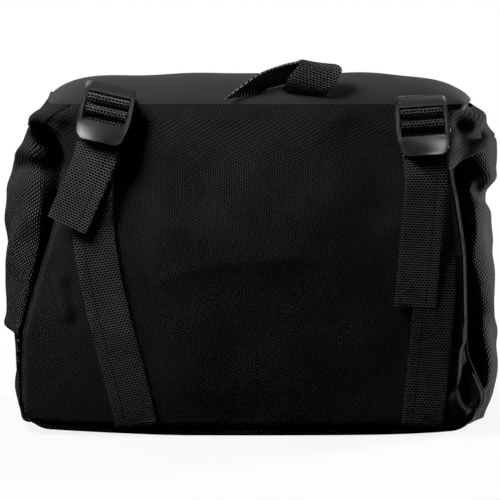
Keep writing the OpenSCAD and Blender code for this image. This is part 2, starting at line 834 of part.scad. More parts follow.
eye_r = ring_wire_r + sewn;
ring_y = back_face + eye_r + strap_t;
module ring_tab() {
  color(web) along_x(tab_w) difference() {
    union() {
      translate([back_face, ring_z]) square([2 * strap_t, tab_len]);
      translate([back_face, ring_z]) square([ring_y - back_face, eye_r + strap_t]);
      translate([ring_y, ring_z]) circle(eye_r + strap_t);
    }
    translate([ring_y, ring_z]) circle(eye_r);
  }
}

module d_ring() {
  color(steel) translate([0, ring_y, ring_z]) {
    along_x(2 * ring_r) circle(ring_wire_r);
    rotate([-90, 0, 0]) rotate_extrude(angle = 180) translate([ring_r, 0]) circle(ring_wire_r);
  }
}

front_panel();
left_side_panel();
right_side_panel();
base_panel();
back_panel();
front_welt();
back_welt();
mouth_hem();
back_board();
base_board();
left_strap();
right_strap();
left_hook();
right_hook();
hook_backing();
hook_rivets();
ring_tab();
lid_panel();
lid_pad();
lid_binding();
lid_hinge();
handle();
left_buckle();
left_anchor();
left_strap_loop();
left_tail();
right_buckle();
right_anchor();
right_strap_loop();
right_tail();
d_ring();
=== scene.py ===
import math

import bpy
import numpy as np
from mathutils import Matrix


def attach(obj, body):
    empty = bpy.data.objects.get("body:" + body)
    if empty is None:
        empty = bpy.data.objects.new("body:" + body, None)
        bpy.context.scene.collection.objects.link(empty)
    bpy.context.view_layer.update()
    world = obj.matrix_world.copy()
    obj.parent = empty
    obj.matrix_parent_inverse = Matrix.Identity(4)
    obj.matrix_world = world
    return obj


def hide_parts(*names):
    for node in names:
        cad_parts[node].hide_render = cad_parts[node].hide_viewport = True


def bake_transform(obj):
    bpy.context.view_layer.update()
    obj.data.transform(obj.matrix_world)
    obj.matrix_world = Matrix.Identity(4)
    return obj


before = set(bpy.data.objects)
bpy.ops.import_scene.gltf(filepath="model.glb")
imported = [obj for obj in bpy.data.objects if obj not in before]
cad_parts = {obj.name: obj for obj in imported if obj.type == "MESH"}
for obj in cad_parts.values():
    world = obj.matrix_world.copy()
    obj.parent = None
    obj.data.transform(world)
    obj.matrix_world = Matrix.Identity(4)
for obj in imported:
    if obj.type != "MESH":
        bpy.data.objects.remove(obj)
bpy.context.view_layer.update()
mm = 0.001
print("frame loaded:", len(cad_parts), "nodes")


# Shader nodes: a sum in a shader, a number in it, a tree of nodes and a finish

def operation(kind, swapped=False):
    def work(self, *others):
        values = (*others, self) if swapped else (self, *others)
        return self.shader.add("ShaderNodeMath", {"operation": kind}, dict(enumerate(values)))

    return work


class Number:
    def __init__(self, shader, socket):
        self.shader = shader
        self.socket = socket

    __add__ = __radd__ = operation("ADD")
    __sub__ = operation("SUBTRACT")
    __rsub__ = operation("SUBTRACT", True)
    __mul__ = __rmul__ = operation("MULTIPLY")
    __truediv__ = operation("DIVIDE")
    __mod__ = operation("FLOORED_MODULO")
    __abs__ = operation("ABSOLUTE")
    floor = operation("FLOOR")
    cosine = operation("COSINE")
    most = operation("MAXIMUM")

    def ramp(self, start, end):
        sockets = {"Value": self, "From Min": start, "From Max": end}
        return self.shader.add("ShaderNodeMapRange", {"interpolation_type": "SMOOTHSTEP"}, sockets)


class Shader:
    def __init__(self, tree):
        self.tree = tree

    def add(self, kind, settings, sockets, output=0):
        node = self.tree.nodes.new(kind)
        for name, value in settings.items():
            setattr(node, name, value)
        for name, value in sockets.items():
            self.join(value, node.inputs[name])
        return Number(self, node.outputs[output])

    def join(self, value, socket):
        if isinstance(value, Number):
            self.tree.links.new(value.socket, socket)
        else:
            socket.default_value = value


class Finish(Shader):
    def __init__(self, name, **settings):
        self.material = bpy.data.materials.new(name)
        self.material.use_nodes = True
        super().__init__(self.material.node_tree)
        self.surface = self.tree.nodes["Principled BSDF"]
        for socket, value in settings.items():
            self.surface.inputs[socket.replace("_", " ")].default_value = value

    def feed(self, socket, value):
        self.join(value, self.surface.inputs[socket])

    def objectPlace(self):
        return self.add("ShaderNodeTexCoord", {}, {}, "Object")

    def cloth(self):
        place = self.add("ShaderNodeUVMap", {"uv_map": "cloth"}, {})
        return [self.add("ShaderNodeSeparateXYZ", {}, {0: place}, axis) for axis in ("X", "Y")]

    def noise(self, place, scale, detail=2):
        sockets = {"Vector": place, "Scale": scale, "Detail": detail, "Roughness": 0.5}
        return self.add("ShaderNodeTexNoise", {}, sockets)

    def blendColour(self, share, first, second):
        sockets = {0: share, 6: first, 7: second}
        return self.add("ShaderNodeMix", {"data_type": "RGBA"}, sockets, 2)

    def dress(self, share, colours, rough, height, depth):
        self.feed("Base Color", self.blendColour(share, *colours))
        self.feed("Roughness", rough)
        sockets = {"Height": height, "Distance": depth * mm, "Strength": 1}
        self.feed("Normal", self.add("ShaderNodeBump", {}, sockets))
        return self.material


def grey(level, tint=0.04):
    return (level, level, level * (1 + tint), 1)


# Weave colours: light yarn and dark pits are partly the cloth's own dot pattern and partly painted sheen
# on the yarn and painted shade in the pits; the side cloth's light yarn is raised further as painted
# sheen
weave = {
    "front": {"pitch": (1.38, 1.76), "step": 0.33, "pits": True,
              "low": 0.003, "high": 0.054, "depth": 0.28},
    "side": {"pitch": (1.5, 2.3), "step": 0.42, "pits": False,
             "low": 0.003, "high": 0.15, "depth": 0.45},
    "sway": 0.9, "swayScale": 45, "round": (7, 5), "edge": (0.12, 1.0), "wearScale": 28,
    "worn": (0.3, 0.75), "wearShare": 0.3, "fibreScale": 2600, "fibreLeast": 0.5, "fibreRelief": 0.25,
    "rough": 0.95, "yarnGloss": 0.15,
}


def weaveFinish(name, kind):
    made = weave[kind]
    finish = Finish(name, Specular_IOR_Level=0)
    x, y = finish.cloth()
    place = finish.objectPlace()
    sway = finish.noise(place, weave["swayScale"], detail=1) * (weave["sway"] * mm)
    column = (x + sway) / (made["pitch"][0] * mm)
    row = (y + sway) / (made["pitch"][1] * mm) - column.floor() * made["step"]
    across = column % 1 - 0.5
    along = row % 1 - 0.5
    wide, long = weave["round"]
    far = (across * across * wide + along * along * long).ramp(*weave["edge"])
    # yarn mask: the weave's dots, with painted sheen on the yarn and painted shade in the pits
    yarnAndSheen = far if made["pits"] else 1 - far
    wear = finish.noise(place, weave["wearScale"], detail=3).ramp(*weave["worn"])
    fibre = finish.noise(place, weave["fibreScale"], detail=1)
    worn = 1 - weave["wearShare"] + wear * weave["wearShare"]
    share = yarnAndSheen * worn * (weave["fibreLeast"] + fibre)
    # dark pits to light yarn: weave pattern with painted shade and painted sheen
    colours = grey(made["low"]), grey(made["high"])
    rough = weave["rough"] - yarnAndSheen * weave["yarnGloss"]
    return finish.dress(share, colours, rough, yarnAndSheen + fibre * weave["fibreRelief"], made["depth"])


# Webbing colours: low is painted shade in the grooves between the ribs, high is a painted highlight on
# the rib dashes; the rib and dash pattern itself is the webbing's own
webbing = {
    "width": 25, "thick": 1.5, "rib": 1.5, "dash": 2.1, "shift": 0.5, "stripe": -6, "raised": 0.16,
    "level": 0.7, "selvedge": 1.2, "edgeDrop": 0.25, "cupLevel": 0.33, "trim": 0.2, "rowsPerRib": 4,
    "columnsPerDash": 3, "fewestRows": 8, "smooth": 6, "low": 0.0015, "high": 0.25, "depth": 0.3,
}


webbingLook = {
    "wander": 0.5, "wanderScale": 120, "slot": (0.48, 0.25), "dash": (0.44, 0.26), "stripe": (0.2, 0.8),
    "dashShare": 0.6, "stripeShare": 0.4, "fibreScale": 1800, "wearScale": 60, "plain": 0.3,
    "fibreShare": 0.6, "wearShare": 0.5, "rough": 0.85, "yarnGloss": 0.2, "fibreRelief": 0.3,
}


def webbingFinish(name):
    look = webbingLook
    finish = Finish(name, Specular_IOR_Level=0)
    x, y = finish.cloth()
    place = finish.objectPlace()
    wander = finish.noise(place, look["wanderScale"]) * (look["wander"] * mm)
    line = (y + wander) / (webbing["rib"] * mm)
    column = x / (webbing["dash"] * mm) + line.floor() * webbing["shift"]
    slot = abs(line % 1 - 0.5).ramp(*look["slot"])
    dash = abs(column % 1 - 0.5).ramp(*look["dash"])
    stripe = abs(x - webbing["stripe"] * mm).ramp(*(edge * mm for edge in look["stripe"]))
    fibre = finish.noise(place, look["fibreScale"])
    wear = finish.noise(place, look["wearScale"])
    # painted shade in the grooves between the ribs, less on the dashes
    grooveShade = 1 - slot * (1 - look["dashShare"] + dash * look["dashShare"])
    yarnAndSheen = grooveShade * (1 - look["stripeShare"] + stripe * look["stripeShare"])
    share = yarnAndSheen * (look["plain"] + fibre * look["fibreShare"] + wear * look["wearShare"])
    # near black in the grooves to mid grey on the dashes: painted shade and painted highlight
    colours = grey(webbing["low"]), grey(webbing["high"])
    rough = look["rough"] - yarnAndSheen * look["yarnGloss"]
    return finish.dress(share, colours, rough, yarnAndSheen + fibre * look["fibreRelief"], webbing["depth"])


coated = {
    "thread": 0.8, "low": 0.028, "high": 0.045, "rough": 0.55, "depth": 0.08, "specular": 0.04,
    "grainScale": 1500, "grainRough": 0.12, "cloudScale": 22, "cloudRough": 0.1, "threadRelief": 0.5,
}


def lidFinish(name):
    finish = Finish(name, Specular_IOR_Level=coated["specular"])
    x, y = (((part / (coated["thread"] * mm)) * math.pi).cosine() for part in finish.cloth())
    thread = x * y
    place = finish.objectPlace()
    grain = finish.noise(place, coated["grainScale"])
    cloud = finish.noise(place, coated["cloudScale"], detail=3)
    colours = grey(coated["low"]), grey(coated["high"])
    rough = coated["rough"] + grain * coated["grainRough"] + cloud * coated["cloudRough"]
    height = abs(thread) * coated["threadRelief"] + grain
    return finish.dress(cloud, colours, rough, height, coated["depth"])


moulded = {
    "specular": 0.5, "grainScale": 3200, "grainRough": 0.05, "scuffScale": 130, "scuffed": (0.4, 0.9),
    "scuffRough": 0.04, "scuffPale": 1.25, "depth": 0.02,
}


def mouldedFinish(name, level=0.016, rough=0.22):
    finish = Finish(name, Specular_IOR_Level=moulded["specular"])
    place = finish.objectPlace()
    grain = finish.noise(place, moulded["grainScale"])
    scuff = finish.noise(place, moulded["scuffScale"], detail=3).ramp(*moulded["scuffed"])
    rough = rough + grain * moulded["grainRough"] + scuff * moulded["scuffRough"]
    colours = grey(level), grey(level * moulded["scuffPale"])
    return finish.dress(scuff, colours, rough, grain, moulded["depth"])


metal = {
    "brushScale": 900, "brushRough": 0.15, "dullScale": 160, "dulled": (0.4, 0.8), "dullShare": 0.7,
    "depth": 0.01,
}


def metalFinish(name, colour, rough):
    finish = Finish(name, Metallic=1)
    place = finish.objectPlace()
    brushed = finish.noise(place, metal["brushScale"], detail=3)
    tarnish = finish.noise(place, metal["dullScale"], detail=3).ramp(*metal["dulled"])
    dull = tuple(c * metal["dullShare"] for c in colour[:3]) + (1,)
    rough = rough + brushed * metal["brushRough"]
    return finish.dress(tarnish, (colour, dull), rough, brushed, metal["depth"])


finishes = {
    "front_weave": weaveFinish("dobbyWeave", "front"),
    "side_weave": weaveFinish("coarseWeave", "side"),
    "lid_fabric": lidFinish("coatedCloth"),
    "webbing": webbingFinish("ribbedWebbing"),
    "buckle_plastic": mouldedFinish("buckleMoulding"),
    "hook_plastic": mouldedFinish("hookMoulding", 0.014, 0.42),
    "board_plastic": mouldedFinish("boardSheet", 0.03, 0.5),
    "backing_aluminium": metalFinish("backingStrip", (0.75, 0.75, 0.76, 1), 0.35),
    "rivet_steel": metalFinish("plainSteel", (0.56, 0.56, 0.57, 1), 0.25),
}
print("finishes made:", len(finishes))


# Mesh helpers: a grid is added, its corners are read as u and v, and it is laid on a surface

panelShade = 50
webbingShade = 60


def cleanSlate():
    if bpy.context.object and bpy.context.object.mode != "OBJECT":
        bpy.ops.object.mode_set(mode="OBJECT")
    bpy.ops.object.select_all(action="DESELECT")


def openWelded(gap):
    bpy.ops.object.mode_set(mode="EDIT")
    bpy.ops.mesh.select_all(action="SELECT")
    bpy.ops.mesh.remove_doubles(threshold=gap * mm)


def pick(piece):
    cleanSlate()
    bpy.context.view_layer.objects.active = piece
    piece.select_set(True)


def cornersOf(piece):
    corners = np.empty(len(piece.data.vertices) * 3)
    piece.data.vertices.foreach_get("co", corners)
    return corners.reshape(-1, 3)


def newGrid(name, columns, rows):
    cleanSlate()
    bpy.ops.mesh.primitive_grid_add(x_subdivisions=columns, y_subdivisions=rows, size=2)
    piece = bpy.context.object
    piece.name = name
    corners = cornersOf(piece)
    return piece, corners[:, 0], corners[:, 1] / 2 + 0.5


def newPanel(name, made):
    piece, u, v = newGrid(name, made["columns"], made["rows"])
    return piece, u, v, (made["rows"] + 1, made["columns"] + 1, 3)


def spread(mesh, layer, cloth):
    corner = np.empty(len(mesh.loops), dtype=np.int32)
    mesh.loops.foreach_get("vertex_index", corner)
    layer.data.foreach_set("uv", cloth[corner].astype(np.float32).ravel())


def layOn(piece, points, cloth):
    mesh = piece.data
    mesh.vertices.foreach_set("co", (np.asarray(points) * mm).astype(np.float32).ravel())
    layer = mesh.uv_layers[0]
    layer.name = "cloth"
    spread(mesh, layer, np.asarray(cloth) * mm)
    mesh.update()


def applyAll(piece):
    pick(piece)
    for modifier in list(piece.modifiers):
        bpy.ops.object.modifier_apply(modifier=modifier.name)


def thicken(piece, wall, offset=-1):
    solid = piece.modifiers.new("wall", "SOLIDIFY")
    solid.thickness = wall * mm
    solid.offset = offset
    solid.use_even_offset = False
    applyAll(piece)


def smoothShade(piece, angle=None):
    pick(piece)
    if angle is None:
        bpy.ops.object.shade_smooth()
    else:
        bpy.ops.object.shade_smooth_by_angle(angle=math.radians(angle))


def finishPiece(piece, body, slot, *nodes):
    piece.data.materials.clear()
    piece.data.materials.append(finishes[slot])
    if body:
        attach(piece, body)
    if nodes:
        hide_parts(*nodes)
    return piece


def makePanel(piece, points, cloth, wall, body, slot, *nodes, offset=-1):
    layOn(piece, points, cloth)
    thicken(piece, wall, offset)
    smoothShade(piece, panelShade)
    return finishPiece(piece, body, slot, *nodes)


# Outer form of the bag, in millimetres

bag = {
    "high": 196.5, "deep": 122, "frontFoot": 276, "frontTop": 238, "rearFoot": 272, "rearTop": 254,
    "bulge": 19, "mouthBulge": 4, "shoulder": 40, "crown": 10, "hemCrown": 3, "corner": 16,
    "roll": 8, "wall": 2, "seamHeight": 3, "seamGap": 1.7, "baseThick": 2,
}
frontY = -bag["deep"] / 2
backY = bag["deep"] / 2


def joined(*parts):
    return np.column_stack(parts)


def mix(a, b, t):
    return a + (b - a) * t


def ease(t):
    t = np.clip(t, 0, 1)
    return t * t * (3 - 2 * t)


def evened(run):
    return (run[:-2] + 2 * run[1:-1] + run[2:]) / 4


def fromFront(u, way):
    return u * 0.5 * way + 0.5


def unit(v):
    v = np.asarray(v, float)
    return v / np.linalg.norm(v, axis=-1, keepdims=True)


def drawIn(z, radius):
    below = np.maximum(radius - z, 0)
    return radius - np.sqrt(np.maximum(radius * radius - below * below, 0))


def frontHalf(z):
    return mix(bag["frontFoot"], bag["frontTop"], z / bag["high"]) / 2 - drawIn(z, bag["corner"])


def rearHalf(z):
    return mix(bag["rearFoot"], bag["rearTop"], z / bag["high"]) / 2 - drawIn(z, bag["corner"])


def crown(z):
    return mix(bag["hemCrown"], bag["crown"], np.sin(np.pi * z / bag["high"]))


def frontFace(x, z):
    share = x / frontHalf(z)
    return frontY + drawIn(z, bag["roll"]) - crown(z) * (1 - share * share)


def bulge(z):
    near = np.maximum(0, 1 - (bag["high"] - z) / bag["shoulder"])
    return mix(bag["bulge"], bag["mouthBulge"], near * near)


def sideFace(t, z):
    x = mix(frontHalf(z), rearHalf(z), t) + bulge(z) * 4 * t * (1 - t)
    y = mix(frontY + drawIn(z, bag["roll"]), backY, t)
    return x, y


# The slack base sags between its corners, and the rim of the side walls dips under the lid

droop = {
    "sag": 1.4, "cornerRise": 2.6, "cornerHigh": 25, "leftStart": 38, "leftPower": 1.4,
    "rightPower": 5, "rimDip": 4.5, "rimStart": 165, "rimFront": 0.22, "rimRear": 0.4,
}


def footRise(x):
    half, start = bag["frontFoot"] / 2, droop["leftStart"]
    left = np.clip((-x - start) / (half - start), 0, 1) ** droop["leftPower"]
    right = np.maximum(0, x / half) ** droop["rightPower"]
    return droop["cornerRise"] * (left + right)


def sideLift(z, s):
    low = droop["cornerRise"] * (1 - ease((z - bag["baseThick"]) / droop["cornerHigh"])) * (1 - ease(s))
    dip = droop["rimDip"] * ease((z - droop["rimStart"]) / (bag["high"] - droop["rimStart"]))
    return low - dip * ease(s / droop["rimFront"]) * ease((1 - s) / droop["rimRear"])


# Folds: each is a line on the cloth with a height and a reach to its left and right

def fold(line, height, reach, tip=0.25, power=2):
    return {"line": np.array(line, float), "height": height, "reach": reach, "tip": tip, "power": power}


def foldHeight(a, b, folds):
    total = np.zeros_like(a)
    for crease in folds.values():
        line = crease["line"]
        legs = np.diff(line, axis=0)
        lengths = np.hypot(legs[:, 0], legs[:, 1])
        starts = np.concatenate(([0], np.cumsum(lengths)))
        nearest = np.full(a.shape, 1e9)
        signed = np.zeros_like(a)
        along = np.zeros_like(a)
        for start, leg, length, gone in zip(line, legs, lengths, starts):
            da, db = a - start[0], b - start[1]
            t = np.clip((da * leg[0] + db * leg[1]) / length**2, 0, 1)
            off = np.hypot(da - t * leg[0], db - t * leg[1])
            side = np.sign(leg[0] * db - leg[1] * da)
            closer = off < nearest
            nearest = np.where(closer, off, nearest)
            signed = np.where(closer, off * side, signed)
            along = np.where(closer, (gone + t * length) / starts[-1], along)
        reach = np.where(signed > 0, *crease["reach"])
        shape = np.exp(-((nearest / reach) ** crease["power"]))
        fade = ease(along / crease["tip"]) * ease((1 - along) / crease["tip"])
        total += crease["height"] * shape * fade
    return total


seeds = {"frontPanel": 3, "left": 5, "right": 8, "lid": 11}
waveSpread = (0.6, 1.6)


def ripples(a, b, seed, height, reach, count=14):
    chance = np.random.default_rng(seed)
    total = np.zeros_like(a)
    for _ in range(count):
        way = chance.uniform(0, np.pi)
        wave = chance.uniform(*waveSpread) * reach
        start = chance.uniform(0, 2 * np.pi)
        total += np.sin((a * np.cos(way) + b * np.sin(way)) * 2 * np.pi / wave + start)
    return total * height / math.sqrt(count)


# Side walls: plan sections by height, each from the front seam over gully, lip and shoulder
# to the widest point, as distance out from the middle and depth

sections = {
    "left": {
        2.3: [(130.5, -58), (132, -52), (134.5, -51), (139, -40), (142, -15)],
        20: [(136.2, -61), (137, -50), (139, -54), (142.5, -38), (145.2, -12)],
        40: [(136, -61), (137, -50), (139, -54), (142.5, -38), (144.5, -12)],
        54: [(135.5, -61), (136.5, -48), (139, -54), (142.5, -36), (145.2, -12)],
        60: [(135, -61), (136.3, -46), (139, -56), (147, -38), (151.4, -14)],
        66: [(133.6, -61), (135, -45), (136.8, -56), (146, -38), (150.3, -14)],
        90: [(126.8, -61), (128.5, -42), (130.7, -57), (143.5, -41), (151.1, -12)],
        122: [(116.8, -61), (120.5, -38), (124.6, -56), (141, -40), (150.8, -12)],
        140: [(111.5, -60.5), (117, -36), (124.5, -52), (140, -36), (149.8, -10)],
        152: [(108.5, -60), (115, -33), (125.5, -45), (138, -32), (146.3, -8)],
        160: [(107.5, -60), (114.5, -29), (126, -41), (137, -30), (144.5, -6)],
        168: [(109, -60), (116, -30), (127, -41), (135.5, -31), (141, -8)],
        177: [(113, -59.5), (119.5, -33), (129, -42), (134.5, -33), (137.2, -8)],
        183: [(119, -58), (124.5, -43), (130, -45), (133.5, -34), (134.8, -8)],
        189: [(125.5, -55), (129, -50), (130.8, -43), (131.6, -28), (131.4, -6)],
        196.5: [(116.5, -56), (119.5, -49), (121, -41), (122.2, -26), (123, -2)],
    },
    "right": {
        2.3: [(130.5, -58), (132.5, -54), (135.5, -48), (142, -36), (144.5, -12)],
        20: [(139.5, -57), (139.5, -48), (141.5, -44), (147, -34), (150.6, -12)],
        35: [(134, -58), (136, -40), (141.5, -46), (148, -36), (152.4, -12)],
        50: [(128.5, -59), (131, -34), (138.5, -45), (147, -36), (150.9, -12)],
        67: [(128, -60), (131, -34), (137, -46), (145, -38), (149, -12)],
        90: [(127.2, -60.5), (130, -38), (134, -51), (144, -41), (150.2, -12)],
        107: [(126.4, -61), (128.5, -42), (130.5, -54), (141, -43), (147.9, -12)],
        125: [(124, -61), (127, -38), (131.5, -50), (139.5, -39), (144.8, -10)],
        139: [(121.7, -60.5), (125, -36), (130, -45), (140, -38), (145.6, -8)],
        152: [(119, -60), (122.5, -37), (129.5, -45), (142, -38), (148.8, -8)],
        160: [(118, -60), (122.5, -46), (129.5, -46), (142.5, -37), (150, -8)],
        172: [(117.5, -59), (123, -52), (131, -48), (142, -38), (149.4, -14)],
        182: [(116.5, -58), (122, -53.5), (129.5, -50), (138.5, -40), (143, -16)],
        187: [(116, -57), (121.5, -53), (130, -48), (137.5, -39), (140.8, -16)],
        191: [(117, -56.5), (121.5, -52.5), (130, -46.5), (138, -37), (141, -12)],
        196.5: [(118, -56), (123.5, -50), (128, -42), (132, -28), (134.5, -4)],
    },
}
sideWays = {"left": -1, "right": 1}
alongSection = [0, 0.08, 0.14, 0.25, 0.44, 0.68, 0.82, 0.93, 1]
rearShare = [(0.68, 0.7), (0.82, 0.4), (0.93, 0.12), (1, 0)]


def easedRun(knots, values, at, each=False):
    knots, values, at = (np.asarray(part, float) for part in (knots, values, at))
    gaps = np.diff(knots).reshape(-1, *[1] * (values.ndim - 1))
    slopes = np.diff(values, axis=0) / gaps
    both = slopes[:-1] * slopes[1:]
    inner = np.where(both > 0, 2 * both / np.where(both > 0, slopes[:-1] + slopes[1:], 1), 0)
    lean = np.concatenate((slopes[:1], inner, slopes[-1:]))
    k = np.clip(np.searchsorted(knots, at) - 1, 0, len(knots) - 2)
    here = (k, np.arange(len(at))) if each else (k,)
    ahead = (k + 1, *here[1:])
    level = [1] * (values[here].ndim - 1)
    gap = np.diff(knots)[k].reshape(-1, *level)
    t = ((at - knots[k]).reshape(-1, *level)) / gap
    first = (1 + 2 * t) * (1 - t) ** 2 * values[here] + t * (1 - t) ** 2 * gap * lean[here]
    return first + t * t * (3 - 2 * t) * values[ahead] + t * t * (t - 1) * gap * lean[ahead]


def controlPoints(side):
    rows = []
    for z, front in sections[side].items():
        out, y = front[-1]
        widest = sideFace((y - frontY) / bag["deep"], float(z))[0]
        rear = []
        for t, share in rearShare:
            x, depth = sideFace(t, float(z))
            rear.append((x + (out - widest) * share, depth))
        rows.append(front + rear)
    return np.array(rows, float)


controls = {side: controlPoints(side) for side in sections}


def sidePoint(side, z, s):
    z, s = (np.asarray(part, float).ravel() for part in np.broadcast_arrays(z, s))
    marks = easedRun(list(sections[side]), controls[side], z)
    place = easedRun(alongSection, marks.transpose(1, 0, 2), s, True)
    return place[:, 0], place[:, 1]


def seamAt(side, z):
    return sidePoint(side, z, 0.0)


# Front panel: its side edges follow the seams, and its folds lie on the crowned face

frontFolds = {
    "edgeRidge": fold([(117.3, 166), (118, 152), (120.6, 139), (125.2, 107), (126.8, 67), (124.4, 40),
                       (121, 24)], 3, (2.5, 3), tip=0.1),
    "edgeValley": fold([(110, 166), (113, 150), (116.5, 135), (120.5, 107), (121, 67), (117, 42)],
                       -2.5, (3, 3), tip=0.15),
    "ridgeKink": fold([(119, 108.5), (128, 106.5)], 2.2, (1.6, 1.6)),
    "lowValley": fold([(128, 58), (128, 42), (128.5, 28), (131, 12)], -7, (4, 4), tip=0.2),
    "cornerFold": fold([(118, 27), (123, 20), (131, 10)], 4, (5, 5)),
    "midCrease": fold([(-74, 86), (-45, 98), (-15, 105), (29, 108), (62, 106)],
                      2, (26, 12), power=1.2, tip=0.3),
    "uprightRidge": fold([(-55, 190), (-54, 150), (-52, 100)], 1.8, (14, 7)),
    "buckleHollow": fold([(-66, 190), (-68, 140)], -2.5, (9, 9)),
    "leftCrinkleA": fold([(-116, 100), (-106, 66)], 1.4, (4, 3)),
    "leftCrinkleB": fold([(-109, 98), (-101, 62)], -1.4, (3, 4)),
    "rightHollow": fold([(46, 190), (62, 176), (74, 158), (82, 120)], -2.6, (14, 14)),
    "earDent": fold([(-112, 190), (-104, 172), (-100, 150)], -2.5, (7, 7)),
}
frontPanel = {
    "columns": 220, "rows": 160, "edgeRoll": 2.6, "edgeReach": 2.8, "edgeIn": 0.3, "rollPower": 2.2,
    "footLift": 0.7, "footRoll": 1.2, "settle": 22, "swell": 14, "swellHeight": 125,
    "swellTop": 1.5, "ripple": 0.35, "rippleReach": 60, "calmTop": 14, "calmStart": 0.15,
    "calmFoot": 12, "calmEdge": 8, "shareLimit": 1.2,
}


# Collar: the front cloth goes on round the corners of the mouth, over the coarse side cloth

collar = {
    "left": {"line": [(0, 184), (0.2, 185), (0.5, 186), (1, 186)]},
    "right": {"line": [(0, 157), (0.12, 163), (0.3, 173), (0.45, 177), (1, 180)]},
    "rise": 1.3, "riseSpeed": 14, "riseStart": 0.15, "wall": 1.2, "columns": 140,
    "rows": 36, "topGap": 2, "lapSpeed": 3, "lapGap": 0.3, "flap": 13, "flapShare": 0.14,
    "flapRise": 10, "rounding": 24, "tuck": 4, "tuckReach": 6,
}


def swollen(z):
    peak, top = frontPanel["swellHeight"], bag["high"]
    below = np.clip((peak - z) / peak, 0, 1)
    above = np.clip((z - peak) / (top - peak), 0, 1)
    share = 1 - below**2 - above ** frontPanel["swellTop"]
    return bag["hemCrown"] + (frontPanel["swell"] - bag["hemCrown"]) * share


def frontSurface(x, z):
    x, z = np.asarray(x, float), np.asarray(z, float)
    limit = frontPanel["shareLimit"]
    share = np.clip(x / frontHalf(z), -limit, limit)
    y = frontFace(x, z) - (swollen(z) - crown(z)) * np.maximum(0, 1 - share * share)
    lift = foldHeight(x, z, frontFolds)
    calm = ease((bag["high"] - z) / frontPanel["calmTop"] + frontPanel["calmStart"])
    calm = calm * ease(z / frontPanel["calmFoot"])
    wavy = ripples(x, z, seeds["frontPanel"], frontPanel["ripple"], frontPanel["rippleReach"])
    for side, way in sideWays.items():
        out, seamY = seamAt(side, z.ravel())
        out, seamY = out.reshape(z.shape), seamY.reshape(z.shape)
        inside = out - way * x
        y = y + (seamY - frontFace(way * out, z)) * np.clip(1 - inside / frontPanel["settle"], 0, 1) ** 2
        wavy = wavy * ease(inside / frontPanel["calmEdge"])
    return y - (lift + wavy) * calm


def clothAlong(lines, z, way, calm):
    gone = np.cumsum(np.linalg.norm(np.diff(lines, axis=1), axis=2), axis=1)
    last = gone.shape[1]
    gone = np.pad(gone, ((0, 0), (1, 0)))
    start = {-1: 0, 0: last // 2, 1: last}[way]
    gone = gone - gone[:, start:start + 1]
    for _ in range(calm):
        gone[1:-1] = evened(gone)
    return joined(gone.ravel(), z)


def sewPanel(piece, lines, z, way, wall, slot, *nodes, calm=0):
    cloth = clothAlong(lines, z, way, calm)
    return makePanel(piece, lines.reshape(-1, 3), cloth, wall, "bag", slot, *nodes)


def makeFrontPanel():
    piece, u, v, grid = newPanel("frontPanel", frontPanel)
    power = frontPanel["rollPower"]
    foot = bag["seamHeight"] + frontPanel["footLift"] + footRise(u * bag["frontFoot"] / 2)
    z = mix(foot, bag["high"], v)
    left, right = (seamAt(side, z)[0] - frontPanel["edgeIn"] for side in sideWays)
    x = mix(-left, right, u / 2 + 0.5)
    above = (z - foot) * frontPanel["footRoll"] / frontPanel["edgeReach"]
    turn = frontPanel["edgeRoll"] * np.maximum(0, 1 - above) ** power
    for side, edge in (("left", x + left), ("right", right - x)):
        lapped = ease((z - collar[side]["line"][0][1] - collar["flapRise"] / 2) / collar["flapRise"])
        reach = frontPanel["edgeReach"] + lapped * collar["tuckReach"]
        roll = frontPanel["edgeRoll"] + lapped * collar["tuck"]
        turn = np.maximum(turn, roll * np.maximum(0, 1 - edge / reach) ** power)
    lines = joined(x, frontSurface(x, z) + turn, z).reshape(grid)
    return sewPanel(piece, lines, z, 0, bag["wall"], "front_weave", "front_panel")


# Small folds of the side walls, along the cloth from the front seam and up

sideFolds = {
    "left": {
        "shelf": fold([(6, 164), (30, 168), (52, 160)], 2.5, (6, 4)),
        "shelfCrease": fold([(6, 156), (30, 158), (58, 150)], -3, (4, 5)),
        "slackA": fold([(16, 138), (34, 110), (44, 84)], 2, (6, 5)),
        "slackB": fold([(26, 140), (50, 112), (60, 80)], -2, (6, 7)),
    },
    "right": {
        "slack": fold([(26, 150), (44, 128), (52, 100)], 2, (5, 6)),
        "waistCrease": fold([(16, 150), (30, 141), (60, 132)], -4, (5, 5)),
        "shoulderFold": fold([(16, 162), (34, 152), (64, 146)], 2.5, (5, 5)),
        "earHollow": fold([(4, 190), (9, 186), (17, 183)], -4.5, (4.5, 3.5)),
        "earCrease": fold([(5, 176), (16, 175), (34, 182)], -4, (3.5, 3.5)),
        "earFold": fold([(9, 174), (8, 164), (6, 154)], 2.5, (2.5, 2.5)),
        "lowSlack": fold([(24, 84), (40, 60), (60, 48)], 1.8, (6, 7)),
    },
}
sidePanel = {
    "columns": 140, "rows": 160, "wall": 0.9, "tuck": 0.022, "footGap": 0.3, "probe": (0.5, 0.004),
    "rounding": 4, "calm": 200, "ripple": 0.6, "rippleReach": 40, "calmStart": 3, "calmEdge": 9,
    "calmTop": 12, "calmFoot": 14,
}


